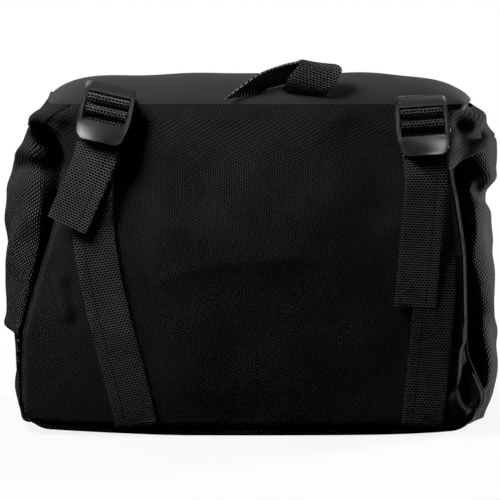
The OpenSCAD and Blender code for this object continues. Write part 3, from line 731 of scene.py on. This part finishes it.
def sideSurface(side, way, z, s, rise=0.0):
    def near(dz, ds):
        level = np.clip(z + dz, min(sections[side]), max(sections[side]))
        out, y = sidePoint(side, level, np.clip(s + ds, 0, 1))
        return joined(out, y, level)

    up, back = sidePanel["probe"]
    outward = unit(np.cross(near(0, back) - near(0, -back), near(up, 0) - near(-up, 0)))
    along = s * bag["deep"]
    lift = foldHeight(along, z, sideFolds[side])
    lift = lift + ripples(along, z, seeds[side], sidePanel["ripple"], sidePanel["rippleReach"])
    edge = np.minimum(along - sidePanel["calmStart"], bag["deep"] - along)
    calm = ease(edge / sidePanel["calmEdge"]) * ease((bag["high"] - z) / sidePanel["calmTop"])
    calm = calm * ease(z / sidePanel["calmFoot"])
    out, y = sidePoint(side, z, s)
    place = joined(out, y, z) + outward * (lift * calm + rise)[:, None]
    place[:, 2] += sideLift(z, s)
    return place * (way, 1, 1)


def makeSide(side, way):
    piece, u, v, grid = newPanel(side + "Side", sidePanel)
    z = mix(bag["baseThick"] + sidePanel["footGap"], bag["high"], v)
    s = mix(sidePanel["tuck"], 1, fromFront(u, way))
    lines = sideSurface(side, way, z, s).reshape(grid)
    across = lines.swapaxes(0, 1)
    for _ in range(sidePanel["rounding"]):
        across[1:-1] = evened(across)
    wall, calm = sidePanel["wall"], sidePanel["calm"]
    return sewPanel(piece, lines, z, -way, wall, "side_weave", side + "_side_panel", calm=calm)


def makeCollar(side, way):
    piece, u, v, grid = newPanel(side + "Collar", collar)
    run = fromFront(u, way)
    lapped = collar["flapShare"]
    s = np.maximum(0, run - lapped) / (1 - lapped)
    ahead = np.clip(1 - run / lapped, 0, 1)
    line = np.array(collar[side]["line"])
    foot = np.interp(s, line[:, 0], line[:, 1]) + collar["flapRise"] * ahead
    z = mix(np.minimum(foot, bag["high"] - collar["topGap"]), bag["high"], v)
    rise = collar["rise"] * ease(v * collar["riseSpeed"] + collar["riseStart"])
    points = sideSurface(side, way, z, s, rise)
    x = way * (seamAt(side, z)[0] - collar["flap"] * ahead)
    over = frontSurface(x, z) - collar["rise"] * ease((1 - ahead) * collar["lapSpeed"]) + collar["lapGap"]
    lap = joined(x, over, z)
    lines = np.where((ahead > 0)[:, None], lap, points).reshape(grid)
    near = np.exp(-(((run - lapped) / lapped) ** 2))
    across, near = (part.reshape(*grid[:2], -1).swapaxes(0, 1) for part in (lines, near))
    for _ in range(collar["rounding"]):
        across[1:-1] = mix(across[1:-1], evened(across), near[1:-1])
    return sewPanel(piece, lines, z, way, collar["wall"], "front_weave")


# Seam tape: a band inside each front corner, from the front cloth over the seam to the side cloth

seamTape = {
    "columns": 12, "rows": 90, "foot": 5, "lap": 6, "into": 0.036, "inset": 1.6, "back": 3.6,
    "clear": 0.2, "wall": 0.5,
}


def makeSeamTape(side, way):
    piece, u, v, grid = newPanel(side + "Tape", seamTape)
    t = fromFront(u, way)[:, None]
    z = mix(seamTape["foot"], collar[side]["line"][0][1] + collar["flapRise"] / 2, v)
    out = seamAt(side, z)[0]
    x = way * (out - seamTape["lap"])
    front = joined(x, frontSurface(x, z) + bag["wall"] + seamTape["clear"], z)
    behind = frontSurface(way * out, z) + seamTape["back"]
    bend = joined(way * (out - seamTape["inset"]), behind, z)
    under = -sidePanel["wall"] - seamTape["clear"]
    rear = sideSurface(side, way, z, np.full_like(z, seamTape["into"]), under)
    points = front * (1 - t) ** 2 + bend * 2 * t * (1 - t) + rear * t * t
    return sewPanel(piece, points.reshape(grid), z, 0, seamTape["wall"], "front_weave")


makeFrontPanel()
for make in (makeSide, makeCollar, makeSeamTape):
    for side, way in sideWays.items():
        make(side, way)
print("bag walls sewn")


# Floor of the bag: a flat sheet, rolled up along the front seam and round its two lower corners

basePanel = {
    "columns": 120, "rows": 60, "sideGap": 0.5, "rimRise": 3.2, "rimReach": 3.5, "rimPower": 2.5,
    "roll": 2.3, "rollShare": 0.2, "turn": 135, "cornerTurn": 1.35, "cornerDepth": 0.12,
    "wall": 0.8,
}


def makeBase():
    piece, u, v, grid = newPanel("basePanel", basePanel)
    way = np.sign(u)
    rolled = basePanel["rollShare"]
    low = np.full_like(u, min(sections["left"]))
    roll, bend = basePanel["roll"], bag["corner"]
    flat = np.maximum(0, v - rolled) / (1 - rolled)
    turn = np.maximum(0, 1 - v / rolled) * math.radians(basePanel["turn"])
    near = 1 - ease(flat / basePanel["cornerDepth"])
    straight = frontHalf(float(bend)) - bend
    along = np.abs(u) * (straight + bend * basePanel["cornerTurn"])
    angle = np.maximum(0, along - straight) / bend
    sideX = np.where(u < 0, *(sidePoint(side, low, flat)[0] for side in sideWays)) - basePanel["sideGap"]
    curl = roll * (1 - np.cos(turn))
    x = way * mix(np.abs(u) * sideX, np.minimum(along, straight) + (bend - curl) * np.sin(angle), near)
    y = mix(frontFace(x, np.full_like(u, bag["seamHeight"])) + roll, backY, flat) - roll * np.sin(turn)
    rim = np.maximum(0, 1 - (sideX - np.abs(x)) / basePanel["rimReach"]) * (1 - near)
    slack = footRise(x) * (1 + droop["sag"] / droop["cornerRise"]) - droop["sag"]
    rise = basePanel["rimRise"] * rim ** basePanel["rimPower"]
    rise = rise + bend * (1 - np.cos(angle)) * near + curl * np.cos(angle)
    cloth = joined(way * along, mix(0, bag["deep"], flat) - roll * turn)
    points = joined(x, y, rise + slack * (1 - flat * flat))
    return makePanel(piece, points, cloth, basePanel["wall"], "bag", "side_weave", "base_panel", offset=1)


makeBase()


# Bands and cords along a path

def through(points, steps):
    p = [np.asarray(point, float) for point in points]
    run = []
    for i in range(len(p) - 1):
        a, b, c, d = p[max(0, i - 1)], p[i], p[i + 1], p[min(len(p) - 1, i + 2)]
        for k in range(steps):
            t = k / steps
            run.append(0.5 * (2 * b + (c - a) * t + (2 * a - 5 * b + 4 * c - d) * t**2
                              + (3 * b - a - 3 * c + d) * t**3))
    run.append(p[-1])
    return np.array(run)


def lengthAlong(path):
    return np.concatenate(([0], np.cumsum(np.linalg.norm(np.diff(path, axis=0), axis=1))))


def evenRun(path, sides, step):
    path, sides = through(path, webbing["smooth"]), through(sides, webbing["smooth"])
    gone = lengthAlong(path)
    rows = max(webbing["fewestRows"], int(round(gone[-1] / step)))
    at = np.linspace(0, gone[-1], rows + 1)
    path = np.column_stack([np.interp(at, gone, path[:, i]) for i in range(3)])
    sides = unit(np.column_stack([np.interp(at, gone, sides[:, i]) for i in range(3)]))
    return path, sides, at, rows


def makeWebbing(name, path, sides, cup=0):
    width, thick, rib = (webbing[key] for key in ("width", "thick", "rib"))
    path, sides, at, rows = evenRun(path, sides, rib / webbing["rowsPerRib"])
    heading = unit(np.gradient(path, axis=0))
    out = unit(np.cross(sides, heading))
    columns = int(round(width / webbing["dash"])) * webbing["columnsPerDash"]
    piece, u, v = newGrid(name, columns, rows)
    row = np.round(v * rows).astype(int)
    across, along = u * width / 2, at[row]
    wave = 0.5 + 0.5 * np.cos(2 * np.pi * along / rib)
    selvedge = ease((1 - np.abs(u)) * width / 2 / webbing["selvedge"])
    rise = thick / 2 + webbing["raised"] * (wave - webbing["level"]) * selvedge
    rise = rise - webbing["edgeDrop"] * (1 - selvedge) + cup * (u * u - webbing["cupLevel"])
    points = path[row] + sides[row] * across[:, None] + out[row] * rise[:, None]
    layOn(piece, points, joined(across, along))
    thicken(piece, thick - webbing["trim"])
    smoothShade(piece, webbingShade)
    return piece


cord = {"away": (0.05, 0.95, 0.1), "around": 10, "weld": 0.02}


def makeCord(name, path, radius, around=cord["around"]):
    path = np.asarray(path, float)
    heading = unit(np.gradient(path, axis=0))
    across = unit(np.cross(heading, cord["away"]))
    up = np.cross(heading, across)
    piece, u, v = newGrid(name, around, len(path) - 1)
    row = np.round(v * (len(path) - 1)).astype(int)
    turn = -(u + 1) * np.pi
    ring = across[row] * np.cos(turn)[:, None] + up[row] * np.sin(turn)[:, None]
    gone = lengthAlong(path)
    layOn(piece, path[row] + radius * ring, joined(u * np.pi * radius, gone[row]))
    openWelded(cord["weld"])
    bpy.ops.mesh.normals_make_consistent(inside=False)
    bpy.ops.object.mode_set(mode="OBJECT")
    smoothShade(piece)
    return piece


seams = {
    "radius": 0.9, "sunk": 4.6, "steps": 60, "rearRadius": 1.7, "rearIn": 0.7, "rearOut": 0.3,
    "rearTop": 1.4,
}


def makeSeams():
    fall = np.sin(np.linspace(0, np.pi / 2, seams["steps"]))
    half = {}
    for side, way in sideWays.items():
        down = mix(collar[side]["line"][0][1], bag["seamHeight"], fall)
        out, y = seamAt(side, down)
        level = down + sideLift(down, np.zeros_like(down))
        half[side] = joined(way * out, y + seams["sunk"], level)
    x = np.linspace(half["left"][-1, 0], half["right"][-1, 0], 2 * seams["steps"])[1:-1]
    foot = np.full_like(x, bag["seamHeight"])
    bottom = joined(x, frontFace(x, foot) + seams["sunk"], foot + footRise(x))
    path = np.concatenate((half["left"], bottom, half["right"][::-1]))
    finishPiece(makeCord("frontSeam", path, seams["radius"]), "bag", "front_weave", "front_welt")
    down = mix(bag["high"] - seams["rearTop"], bag["seamHeight"], fall)
    behind = np.full_like(down, backY + seams["rearOut"])
    rear = joined(seams["rearIn"] - rearHalf(down), behind, down)
    pieces = [makeCord(name, rear * (way, 1, 1), seams["rearRadius"])
              for name, way in (("backSeam", 1), ("backSeamRight", -1))]
    cleanSlate()
    for piece in pieces:
        piece.select_set(True)
    bpy.context.view_layer.objects.active = pieces[0]
    bpy.ops.object.join()
    finishPiece(pieces[0], "bag", "front_weave", "back_welt")


makeSeams()
print("seams laid")


# Buckle seats: middle of the anchor bar, roll, yaw and tilt, as the straps pull them

buckle = {
    "tilt": 12, "stand": 7, "length": 34.5, "anchorBar": 9.1, "strapBar": 16.5, "anchorRadius": 1.8,
    "strapRadius": 1.6, "railOver": 0.6, "fit": 0.15, "clear": 0.5, "sewn": 0.3,
}
strapT = webbing["thick"]
anchorTurn = buckle["anchorRadius"] + buckle["fit"] + strapT / 2
strapTurn = buckle["strapRadius"] + buckle["fit"] + strapT / 2
strapBarZ = buckle["anchorBar"] - buckle["strapBar"]
lipZ = buckle["anchorBar"] - buckle["length"]
tailY = strapTurn - strapT - buckle["clear"]
tailGap = strapT / 2 + buckle["sewn"] / 2
liftOff = buckle["sewn"] + strapT / 2
sides = {
    "left": {"x": -82.4, "up": 3, "roll": 12.5, "yaw": -5,
             "foot": -68, "bend": (-93, 140), "tail": 51, "lean": 24},
    "right": {"x": 98.6, "up": -4.2, "roll": -4, "yaw": 5,
              "foot": 102, "bend": (108, 100), "tail": 89, "lean": 4},
}


def turned(axis, degrees):
    c, s = math.cos(math.radians(degrees)), math.sin(math.radians(degrees))
    return np.array({
        "x": ((1, 0, 0), (0, c, -s), (0, s, c)),
        "y": ((c, 0, s), (0, 1, 0), (-s, 0, c)),
        "z": ((c, -s, 0), (s, c, 0), (0, 0, 1)),
    }[axis])


class Seat:
    def __init__(self, side):
        at = sides[side]
        self.x = at["x"]
        ahead = frontFace(self.x, bag["high"]) - buckle["stand"]
        self.middle = np.array((self.x, ahead, bag["high"] + at["up"]))
        self.turn = turned("z", at["yaw"]) @ turned("x", -buckle["tilt"]) @ turned("y", at["roll"])
        self.across = self.turn @ (1, 0, 0)
        self.roll = at["roll"]

    def point(self, y, z):
        return self.middle + self.turn @ (0, y, z)

    def inLine(self, y, z):
        side = self.across
        back = side[1] * (y - self.middle[1]) + side[2] * (z - self.middle[2])
        return np.array((self.x - back / side[0], y, z))


seats = {side: Seat(side) for side in sides}


def squared(path, ways):
    heading = unit(np.gradient(np.asarray(path, float), axis=0))
    ways = np.asarray(ways, float)
    return unit(ways - heading * np.sum(ways * heading, axis=1, keepdims=True))


# Strap runs from the lower seam up to the buckles, the loops in them and the free tails

strapRun = {"steps": 80, "lead": 14, "leave": 0.6, "footGap": 0.3, "half": 12, "probes": 9, "rounding": 6}
strapLoop = {"steps": 16, "lean": 78}
strapTail = {"steps": 30, "hang": 20, "leanIn": 0.08, "cup": 0.25}


def makeRun(side):
    seat, at = seats[side], sides[side]
    top, end = (seat.point(strapTurn, lipZ - buckle["clear"] - lead) for lead in (strapRun["lead"], 0))
    low = bag["seamHeight"] + bag["seamGap"] + strapRun["footGap"]
    leave = bag["high"] * strapRun["leave"]
    z = np.linspace(low, end[2], strapRun["steps"])
    x = easedRun((low, at["bend"][1], top[2], end[2]), (at["foot"], at["bend"][0], top[0], end[0]), z)
    share = ease((z - leave) / (top[2] - leave))
    across = np.linspace(-strapRun["half"], strapRun["half"], strapRun["probes"])
    ground = np.min([frontSurface(x + d, z) for d in across], axis=0)
    ground = np.minimum(frontFace(x, z), ground)
    for _ in range(strapRun["rounding"]):
        ground[1:-1] = np.minimum(ground[1:-1], evened(ground))
    held = top[1] + (end[1] - top[1]) * np.maximum(0, z - top[2]) / (end[2] - top[2])
    path = joined(x, mix(ground - liftOff, held, share), z)
    slope = (frontFace(x + 1, z) - frontFace(x, z))[:, None] * (0, 1, 0) + (1, 0, 0)
    ways = mix(slope, seat.across, share[:, None])
    piece = makeWebbing(side + "Strap", path, squared(path, ways))
    return finishPiece(piece, "bag", "webbing", side + "_strap")


def makeLoop(side):
    seat = seats[side]
    lean = math.radians(strapLoop["lean"])
    off = np.array((-strapTurn * math.cos(lean), strapBarZ - strapTurn * math.sin(lean)))
    knee = off + (tailY - off[0]) / math.sin(lean) * np.array((math.sin(lean), -math.cos(lean)))
    turn = np.linspace(0, math.pi + lean, strapLoop["steps"])
    over = [(strapTurn * math.cos(a), strapBarZ + strapTurn * math.sin(a)) for a in turn]
    flat = [(strapTurn, lipZ), (strapTurn, (lipZ + strapBarZ) / 2), *over, tuple(knee), (tailY, lipZ)]
    path = np.array([seat.point(y, z) for y, z in flat])
    piece = makeWebbing(side + "StrapLoop", path, np.tile(seat.across, (len(path), 1)))
    return finishPiece(piece, side + "_buckle", "webbing", side + "_strap_loop")


def makeTail(side):
    seat, at = seats[side], sides[side]
    start = seat.point(tailY, lipZ - tailGap)
    gone = np.linspace(0, at["tail"], strapTail["steps"])
    hang = ease(gone / strapTail["hang"])[:, None]
    down = turned("y", at["lean"]) @ (0, strapTail["leanIn"], -1)
    heading = unit(mix(seat.turn @ (0, 0, -1), down, hang))
    path = start + np.concatenate(([(0, 0, 0)], np.cumsum(heading[:-1], axis=0) * gone[1]))
    hung = turned("y", at["lean"] - seat.roll) @ seat.across
    ways = squared(path, mix(seat.across, hung, hang))
    piece = makeWebbing(side + "Tail", path, -ways, strapTail["cup"])
    return finishPiece(piece, side + "_tail", "webbing", side + "_tail")


# Form of the lid, and the anchors: webbing from its front edge round the anchor bar and back

lid = {
    "lift": 1, "skin": 1.8, "pad": 2.4, "padGap": 0.3, "crown": 14.3, "crownAhead": 0.8,
    "square": (9, 8.5), "rightReach": 10, "rightPower": 3, "rightFade": 0.45, "inset": 4.4,
    "reach": 2.7, "corner": 3, "cornerLong": 3, "hinge": 1.6, "hingeGap": 0.15, "binding": 1.2,
}
anchor = {"steps": 16, "lean": 65, "start": 10, "behind": 2, "ahead": 0.5, "smooth": 3}
lidZ = bag["high"] + lid["lift"]
lidRear = backY - 2 * lid["hinge"] - lid["hingeGap"]


def lidHalf(v, inset=lid["inset"]):
    cut = lid["corner"] * np.maximum(0, 1 - v * bag["deep"] / (lid["cornerLong"] * lid["corner"])) ** 2
    return sideFace(mix(inset / bag["deep"], 1, v), bag["high"])[0] - inset - cut


def lidPlace(u, v, drop=0, inset=lid["inset"]):
    front = frontY - bag["hemCrown"] * (1 - u * u) + inset
    y = mix(front, lidRear, v)
    fall = np.abs(u) ** np.where(u < 0, *lid["square"])
    z = lidZ - drop + lid["crown"] * (1 - fall) * np.sin(np.pi * np.maximum(v, 0) ** lid["crownAhead"])
    reach = lid["rightReach"] * ease((1 - v) / lid["rightFade"]) * np.maximum(u, 0) ** lid["rightPower"]
    return joined(u * lidHalf(v, inset) + reach, y, z)


def lidTop(x, y):
    front = frontFace(x, bag["high"]) + lid["inset"]
    v = (y - front) / (lidRear - front)
    return float(lidPlace(np.array([x / lidHalf(v)]), np.array([v]))[0, 2])


def makeAnchor(side):
    seat = seats[side]
    smooth, fit, clear = anchor["smooth"], buckle["fit"], buckle["clear"]
    lean = math.radians(anchor["lean"])
    hem = frontFace(seat.x, bag["high"])
    rest = hem + lid["inset"] + clear
    low = lidTop(seat.x, rest) + clear + strapT / 2
    high = low + strapT + fit
    off = np.array((-anchorTurn * math.cos(lean), anchorTurn * math.sin(lean)))
    reach = (strapT / 2 + fit - off[0]) / math.sin(lean)
    knee = off + reach * np.array((math.sin(lean), math.cos(lean)))
    turn = np.linspace(math.radians(anchor["start"]), -math.pi - lean, anchor["steps"])
    around = [seat.point(anchorTurn * math.cos(a), anchorTurn * math.sin(a)) for a in turn]
    behindY = buckle["anchorRadius"] + buckle["railOver"] + strapT
    behind = seat.point(behindY, max(knee[1], high - seat.middle[2] - strapT))
    near, past = hem + anchor["behind"], hem - anchor["ahead"]
    under = [seat.inLine(y, z) for y, z in ((rest, low), (near, low), (past, low - fit))]
    lower = through([*under, around[0]], smooth)
    upper = through([behind, *(seat.inLine(y, high) for y in (past, near, rest))], smooth)
    path = np.concatenate((lower, around[1:], [seat.point(*knee)], upper))
    far = np.clip((hem - path[:, 1]) / (buckle["stand"] - anchorTurn - strapT), 0, 1)[:, None]
    ways = squared(path, mix(np.array((1.0, 0, 0)), seat.across, far))
    piece = makeWebbing(side + "Anchor", path, ways)
    return finishPiece(piece, side + "_buckle", "webbing", side + "_anchor")


for side in sides:
    makeRun(side)
    makeLoop(side)
    makeTail(side)
    makeAnchor(side)
print("straps threaded")


# Handle: a twisted loop of webbing

handle = {
    "left": 6, "right": 32, "deep": 11, "high": 16.8, "in": 6, "bends": (1.5, 8), "smooth": 4,
    "shape": [
        ((-0.4, -0.45, -0.08), (0.85, 0.45, 0.1)),
        ((-0.16, -0.05, 0.16), (0.78, 0.45, 0.05)),
        ((0.36, 0.42, 0.52), (0.75, 0.5, -0.2)),
        ((0.9, 0.68, 0.84), (0.85, 0.42, -0.15)),
        ((1.22, 0.45, 1), (0.95, 0.3, -0.08)),
        ((1.36, -0.25, 0.97), (0.95, 0.2, -0.24)),
        ((1.26, -0.62, 0.7), (0.95, 0.06, -0.3)),
        ((1.08, -0.62, 0.38), (0.95, 0, -0.3)),
        ((0.98, -0.3, 0.1), (0.97, 0, -0.24)),
        ((0.94, 0.15, -0.02), (0.98, 0, -0.2)),
    ],
}


def makeHandle():
    y = frontFace(0, bag["high"]) + lid["inset"] + handle["in"]
    foot = np.array((handle["left"], y, lidTop(0, y) + buckle["clear"] + strapT / 2))
    size = np.array((handle["right"] - handle["left"], handle["deep"], handle["high"]))
    path = through([foot + np.array(share) * size for share, _ in handle["shape"]], handle["smooth"])
    ways = unit(through([way for _, way in handle["shape"]], handle["smooth"]))
    piece = finishPiece(makeWebbing("handle", path, -ways), None, "webbing", "handle")
    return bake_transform(piece)


makeHandle()


# Lid: skin and padding as one thick piece, with its binding and its cloth hinge

lidPad = {
    "columns": 120, "rows": 60, "fill": 0.5, "wall": 3, "half": 118, "deep": 115, "ripple": 0.5,
    "rippleReach": 70, "calm": 15, "edgeDrop": 0.9, "edgeReach": 3,
}
binding = {"steps": 40, "rows": 8, "swell": 0.5, "in": 0.3, "up": 1.8}
lidHinge = {"steps": 80, "around": 14}


def makeLid():
    piece, u, v, _ = newPanel("lidCushion", lidPad)
    points = lidPlace(u, v, 0, lid["reach"])
    rim = np.minimum((1 - np.abs(u)) * lidPad["half"], np.minimum(v, 1 - v) * lidPad["deep"])
    lift = ripples(points[:, 0], points[:, 1], seeds["lid"], lidPad["ripple"], lidPad["rippleReach"])
    drop = lidPad["edgeDrop"] * np.maximum(0, 1 - rim / lidPad["edgeReach"]) ** 2
    points[:, 2] += lift * ease(rim / lidPad["calm"]) - drop
    nodes = ("lid_panel", "lid_pad")
    return makePanel(piece, points, points[:, :2], lidPad["wall"], "lid", "lid_fabric", *nodes)


def makeBinding():
    steps = binding["steps"]
    left = [(-1, t) for t in np.linspace(1, 0, steps)[:-1]]
    front = [(t, 0) for t in np.linspace(-1, 1, 2 * steps)]
    right = [(1, t) for t in np.linspace(0, 1, steps)[1:]]
    run = np.array(left + front + right)
    rim = lidPlace(run[:, 0], run[:, 1], lidPad["wall"])
    heading = unit(np.gradient(rim, axis=0))
    inward = unit(joined(-heading[:, 1], heading[:, 0], np.zeros(len(rim))))
    deep = lid["skin"] + lid["padGap"] + lid["pad"] - lidPad["wall"]
    piece, u, v = newGrid("lidBinding", len(rim) - 1, binding["rows"])
    row = np.round((u + 1) / 2 * (len(rim) - 1)).astype(int)
    swell = binding["swell"] * np.sin(np.pi * v) - binding["in"]
    up = mix(-deep, binding["up"], v)
    points = rim[row] + (0, 0, 1) * up[:, None] - inward[row] * swell[:, None]
    cloth = joined(lengthAlong(rim)[row], up)
    return makePanel(piece, points, cloth, lid["binding"], "lid", "lid_fabric", "lid_binding")


def makeHinge():
    half = lidHalf(np.array(1.0)) - lid["binding"]
    x = np.linspace(-half, half, lidHinge["steps"])
    y, z = (np.full_like(x, level) for level in (backY - lid["hinge"], lidZ + lid["hinge"]))
    piece = makeCord("lidHinge", joined(x, y, z), lid["hinge"], lidHinge["around"])
    return finishPiece(piece, "lid", "lid_fabric", "lid_hinge")


makeLid()
makeBinding()
makeHinge()
print("lid made")


# Tape inside the mouth

mouthTape = {"deep": 20, "topGap": 0.4, "steps": 40, "rows": 10, "gap": 0.3, "frontGap": 0.5, "wall": 1.2}


def mouthRing(z):
    steps, gap = mouthTape["steps"], bag["wall"] + mouthTape["gap"]
    start = (gap + bag["seamGap"]) / bag["deep"]
    t = np.linspace(start, 1 - start, steps)
    walls = [sidePoint(side, np.full_like(t, z), t) for side in sideWays]
    top = z + sideLift(np.full_like(t, z), t)
    left, right = (joined(out - gap, y, top) for out, y in walls)
    across = np.linspace(-left[0, 0], right[0, 0], 2 * steps)[1:-1]
    level = np.full_like(across, z)
    front = joined(across, frontSurface(across, level) + gap + mouthTape["frontGap"], level)
    return np.concatenate((left[::-1] * (-1, 1, 1), front, right))


def makeMouthTape():
    rows = mouthTape["rows"]
    heights = np.linspace(bag["high"] - mouthTape["deep"], bag["high"] - mouthTape["topGap"], rows + 1)
    rings = np.array([mouthRing(z) for z in heights])
    columns = rings.shape[1] - 1
    piece, u, v = newGrid("mouthTape", columns, rows)
    row = np.round((u + 1) / 2 * columns).astype(int)
    level = np.round(v * rows).astype(int)
    cloth = joined(lengthAlong(rings[rows // 2])[row], heights[level])
    points = rings[level, row]
    return makePanel(piece, points, cloth, mouthTape["wall"], "bag", "front_weave", "mouth_hem")


makeMouthTape()


# Rigid pieces: a softened copy of the solid, its edges rounded

buckleBow = {
    "cuts": (-10.5, -7, -3.5, 0, 3.5, 7, 10.5), "rows": (0.2, 0.4, 0.6, 0.8), "bow": 1.8,
    "half": 13, "tab": 22.9,
}
rounded = {"weld": 0.01, "flat": 0.5, "limit": 35, "segments": 3, "shade": 40}


def bowTab(piece, side):
    seat = seats[side]
    tabZ = buckle["anchorBar"] - buckleBow["tab"]
    planes = [((x, 0, 0), (1, 0, 0)) for x in buckleBow["cuts"]]
    planes += [((0, 0, mix(tabZ, lipZ, t)), (0, 0, 1)) for t in buckleBow["rows"]]
    bpy.ops.object.mode_set(mode="EDIT")
    for place, way in planes:
        bpy.ops.mesh.select_all(action="SELECT")
        bpy.ops.mesh.bisect(plane_co=(seat.middle + seat.turn @ place) * mm, plane_no=seat.turn @ way)
    bpy.ops.object.mode_set(mode="OBJECT")
    local = (cornersOf(piece) / mm - seat.middle) @ seat.turn
    low = np.clip((tabZ - local[:, 2]) / (tabZ - lipZ), 0, 1)
    local[:, 1] += buckleBow["bow"] * (local[:, 0] / buckleBow["half"]) ** 2 * low
    piece.data.vertices.foreach_set("co", ((local @ seat.turn.T + seat.middle) * mm).ravel())
    piece.data.update()


def layCloth(piece):
    corners = cornersOf(piece)
    flat = joined(corners[:, 0], corners[:, 2] + corners[:, 1])
    spread(piece.data, piece.data.uv_layers.new(name="cloth"), flat)


def softened(node, name, body, slot, edge, side=None):
    piece = bpy.data.objects.new(name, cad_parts[node].data.copy())
    bpy.context.scene.collection.objects.link(piece)
    pick(piece)
    openWelded(rounded["weld"])
    bpy.ops.mesh.dissolve_limited(angle_limit=math.radians(rounded["flat"]))
    bpy.ops.object.mode_set(mode="OBJECT")
    if side:
        bowTab(piece, side)
    bevel = piece.modifiers.new("edges", "BEVEL")
    bevel.width = edge * mm
    bevel.segments = rounded["segments"]
    bevel.limit_method = "ANGLE"
    bevel.angle_limit = math.radians(rounded["limit"])
    applyAll(piece)
    smoothShade(piece, rounded["shade"])
    layCloth(piece)
    return finishPiece(piece, body, slot, node)


for side in sides:
    softened(side + "_buckle", side + "Buckle", side + "_buckle", "buckle_plastic", edge=0.45, side=side)
for side in sides:
    softened(side + "_hook", side + "Hook", "bag", "hook_plastic", edge=0.6)
softened("back_panel", "backPanel", "bag", "front_weave", edge=0.9)
softened("hook_rivets", "hookRivets", "bag", "rivet_steel", edge=0.4)
softened("ring_tab", "ringTab", "bag", "webbing", edge=0.3)
for node, slot in {"back_board": "board_plastic", "base_board": "board_plastic",
                   "hook_backing": "backing_aluminium", "d_ring": "rivet_steel"}.items():
    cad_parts[node].data.materials.clear()
    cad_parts[node].data.materials.append(finishes[slot])
print("rigid pieces finished")


# Camera, light, floor and background

camera = {"aim": (-0.0006, -0.066, 0.1114), "away": 1.2, "above": 8, "lens": 147}
white = (1, 1, 1, 1)
stage = {
    "floor": 6, "floorColour": (0.85, 0.85, 0.85, 1), "floorBounce": (0.015, 0.015, 0.015, 1),
    "floorGlow": 0.86, "shadowReach": (0.16, 0.34), "ambient": 0.006, "backdrop": (-0.1, 0.5),
}
lamps = {
    "overhead": {"at": (-0.46, -0.26, 0.76), "size": (0.5, 0.3), "power": 7.1, "aim": (0, 0, 0.12)},
    "leftSide": {"at": (-1.0, 0.2, 0.6), "size": (0.4, 0.7), "power": 1.2, "aim": (-0.1, 0, 0.1)},
    "rightSide": {"at": (1.0, 0.4, 0.14), "size": (0.25, 0.3), "power": 33, "aim": (0.1, 0, 0.1)},
    "rimGloss": {"at": (0, -1.15, 0.52), "size": (0.9, 0.2), "power": 1.35, "aim": (0, -0.07, 0.19)},
    "leftGloss": {"at": (-0.6, -0.8, 0.95), "size": (0.35, 0.35), "power": 2.6, "aim": (0, -0.07, 0.19)},
    "rightGloss": {"at": (0.6, -0.8, 0.95), "size": (0.35, 0.35), "power": 3.6, "aim": (0, -0.07, 0.19)},
}
glossOnly = ("rimGloss", "leftGloss", "rightGloss")


def aimAt(thing, start, target):
    way = np.subtract(target, start)
    way = way / np.linalg.norm(way)
    thing.location = start
    thing.rotation_euler = (math.acos(-way[2]), 0, math.atan2(-way[0], way[1]))


def setCamera():
    tilt = math.radians(camera["above"])
    back = np.array((0, -math.cos(tilt), math.sin(tilt)))
    place = np.array(camera["aim"]) + back * camera["away"]
    bpy.ops.object.camera_add()
    eye = bpy.context.object
    eye.data.lens = camera["lens"]
    aimAt(eye, tuple(place), camera["aim"])
    bpy.context.scene.camera = eye


def setLamps():
    for name, lamp in lamps.items():
        bpy.ops.object.light_add(type="AREA")
        light = bpy.context.object
        light.name = name
        light.data.shape = "RECTANGLE"
        light.data.size, light.data.size_y = lamp["size"]
        light.data.energy = lamp["power"]
        light.visible_diffuse = name not in glossOnly
        aimAt(light, lamp["at"], lamp["aim"])


def makeFloor():
    cleanSlate()
    bpy.ops.mesh.primitive_plane_add(size=stage["floor"], location=(0, 0, -droop["sag"] * mm))
    bpy.ops.object.transform_apply(location=True, rotation=False, scale=False)
    floor = bpy.context.object
    floor.name = "floor"
    finish = Finish("paleFloor", Roughness=0.9, Specular_IOR_Level=0)
    ray = finish.add("ShaderNodeLightPath", {}, {}, "Is Camera Ray")
    finish.feed("Base Color", finish.blendColour(ray, stage["floorBounce"], stage["floorColour"]))
    glow = finish.add("ShaderNodeEmission", {}, {"Color": white, "Strength": 1})
    matt = Number(finish, finish.surface.outputs[0])
    away = finish.add("ShaderNodeVectorMath", {"operation": "LENGTH"}, {0: finish.objectPlace()}, "Value")
    bare = away.ramp(*stage["shadowReach"])
    share = ray * (stage["floorGlow"] + bare * (1 - stage["floorGlow"]))
    both = finish.add("ShaderNodeMixShader", {}, {0: share, 1: matt, 2: glow})
    finish.join(both, finish.tree.nodes["Material Output"].inputs["Surface"])
    floor.data.materials.append(finish.material)


def makeBackground():
    world = bpy.data.worlds.new("paleStudio")
    bpy.context.scene.world = world
    world.use_nodes = True
    studio = Shader(world.node_tree)
    rays = ("Is Camera Ray", "Is Glossy Ray", "Is Transmission Ray")
    direct, mirrored, passed = (studio.add("ShaderNodeLightPath", {}, {}, ray) for ray in rays)
    way = studio.add("ShaderNodeTexCoord", {}, {}, "Generated")
    depth = studio.add("ShaderNodeSeparateXYZ", {}, {0: way}, "Y")
    start, end = stage["backdrop"]
    behind = studio.add("ShaderNodeMapRange", {}, {"Value": depth, "From Min": start, "From Max": end})
    seen = direct.most(mirrored.most(passed) * behind)
    level = studio.add("ShaderNodeMapRange", {}, {"Value": seen, "To Min": stage["ambient"], "To Max": 1})
    back = studio.tree.nodes["Background"]
    studio.join(white, back.inputs["Color"])
    studio.join(level, back.inputs["Strength"])


makeFloor()
makeBackground()
setLamps()
setCamera()
bpy.context.scene.view_settings.view_transform = "Standard"
print("stage set")
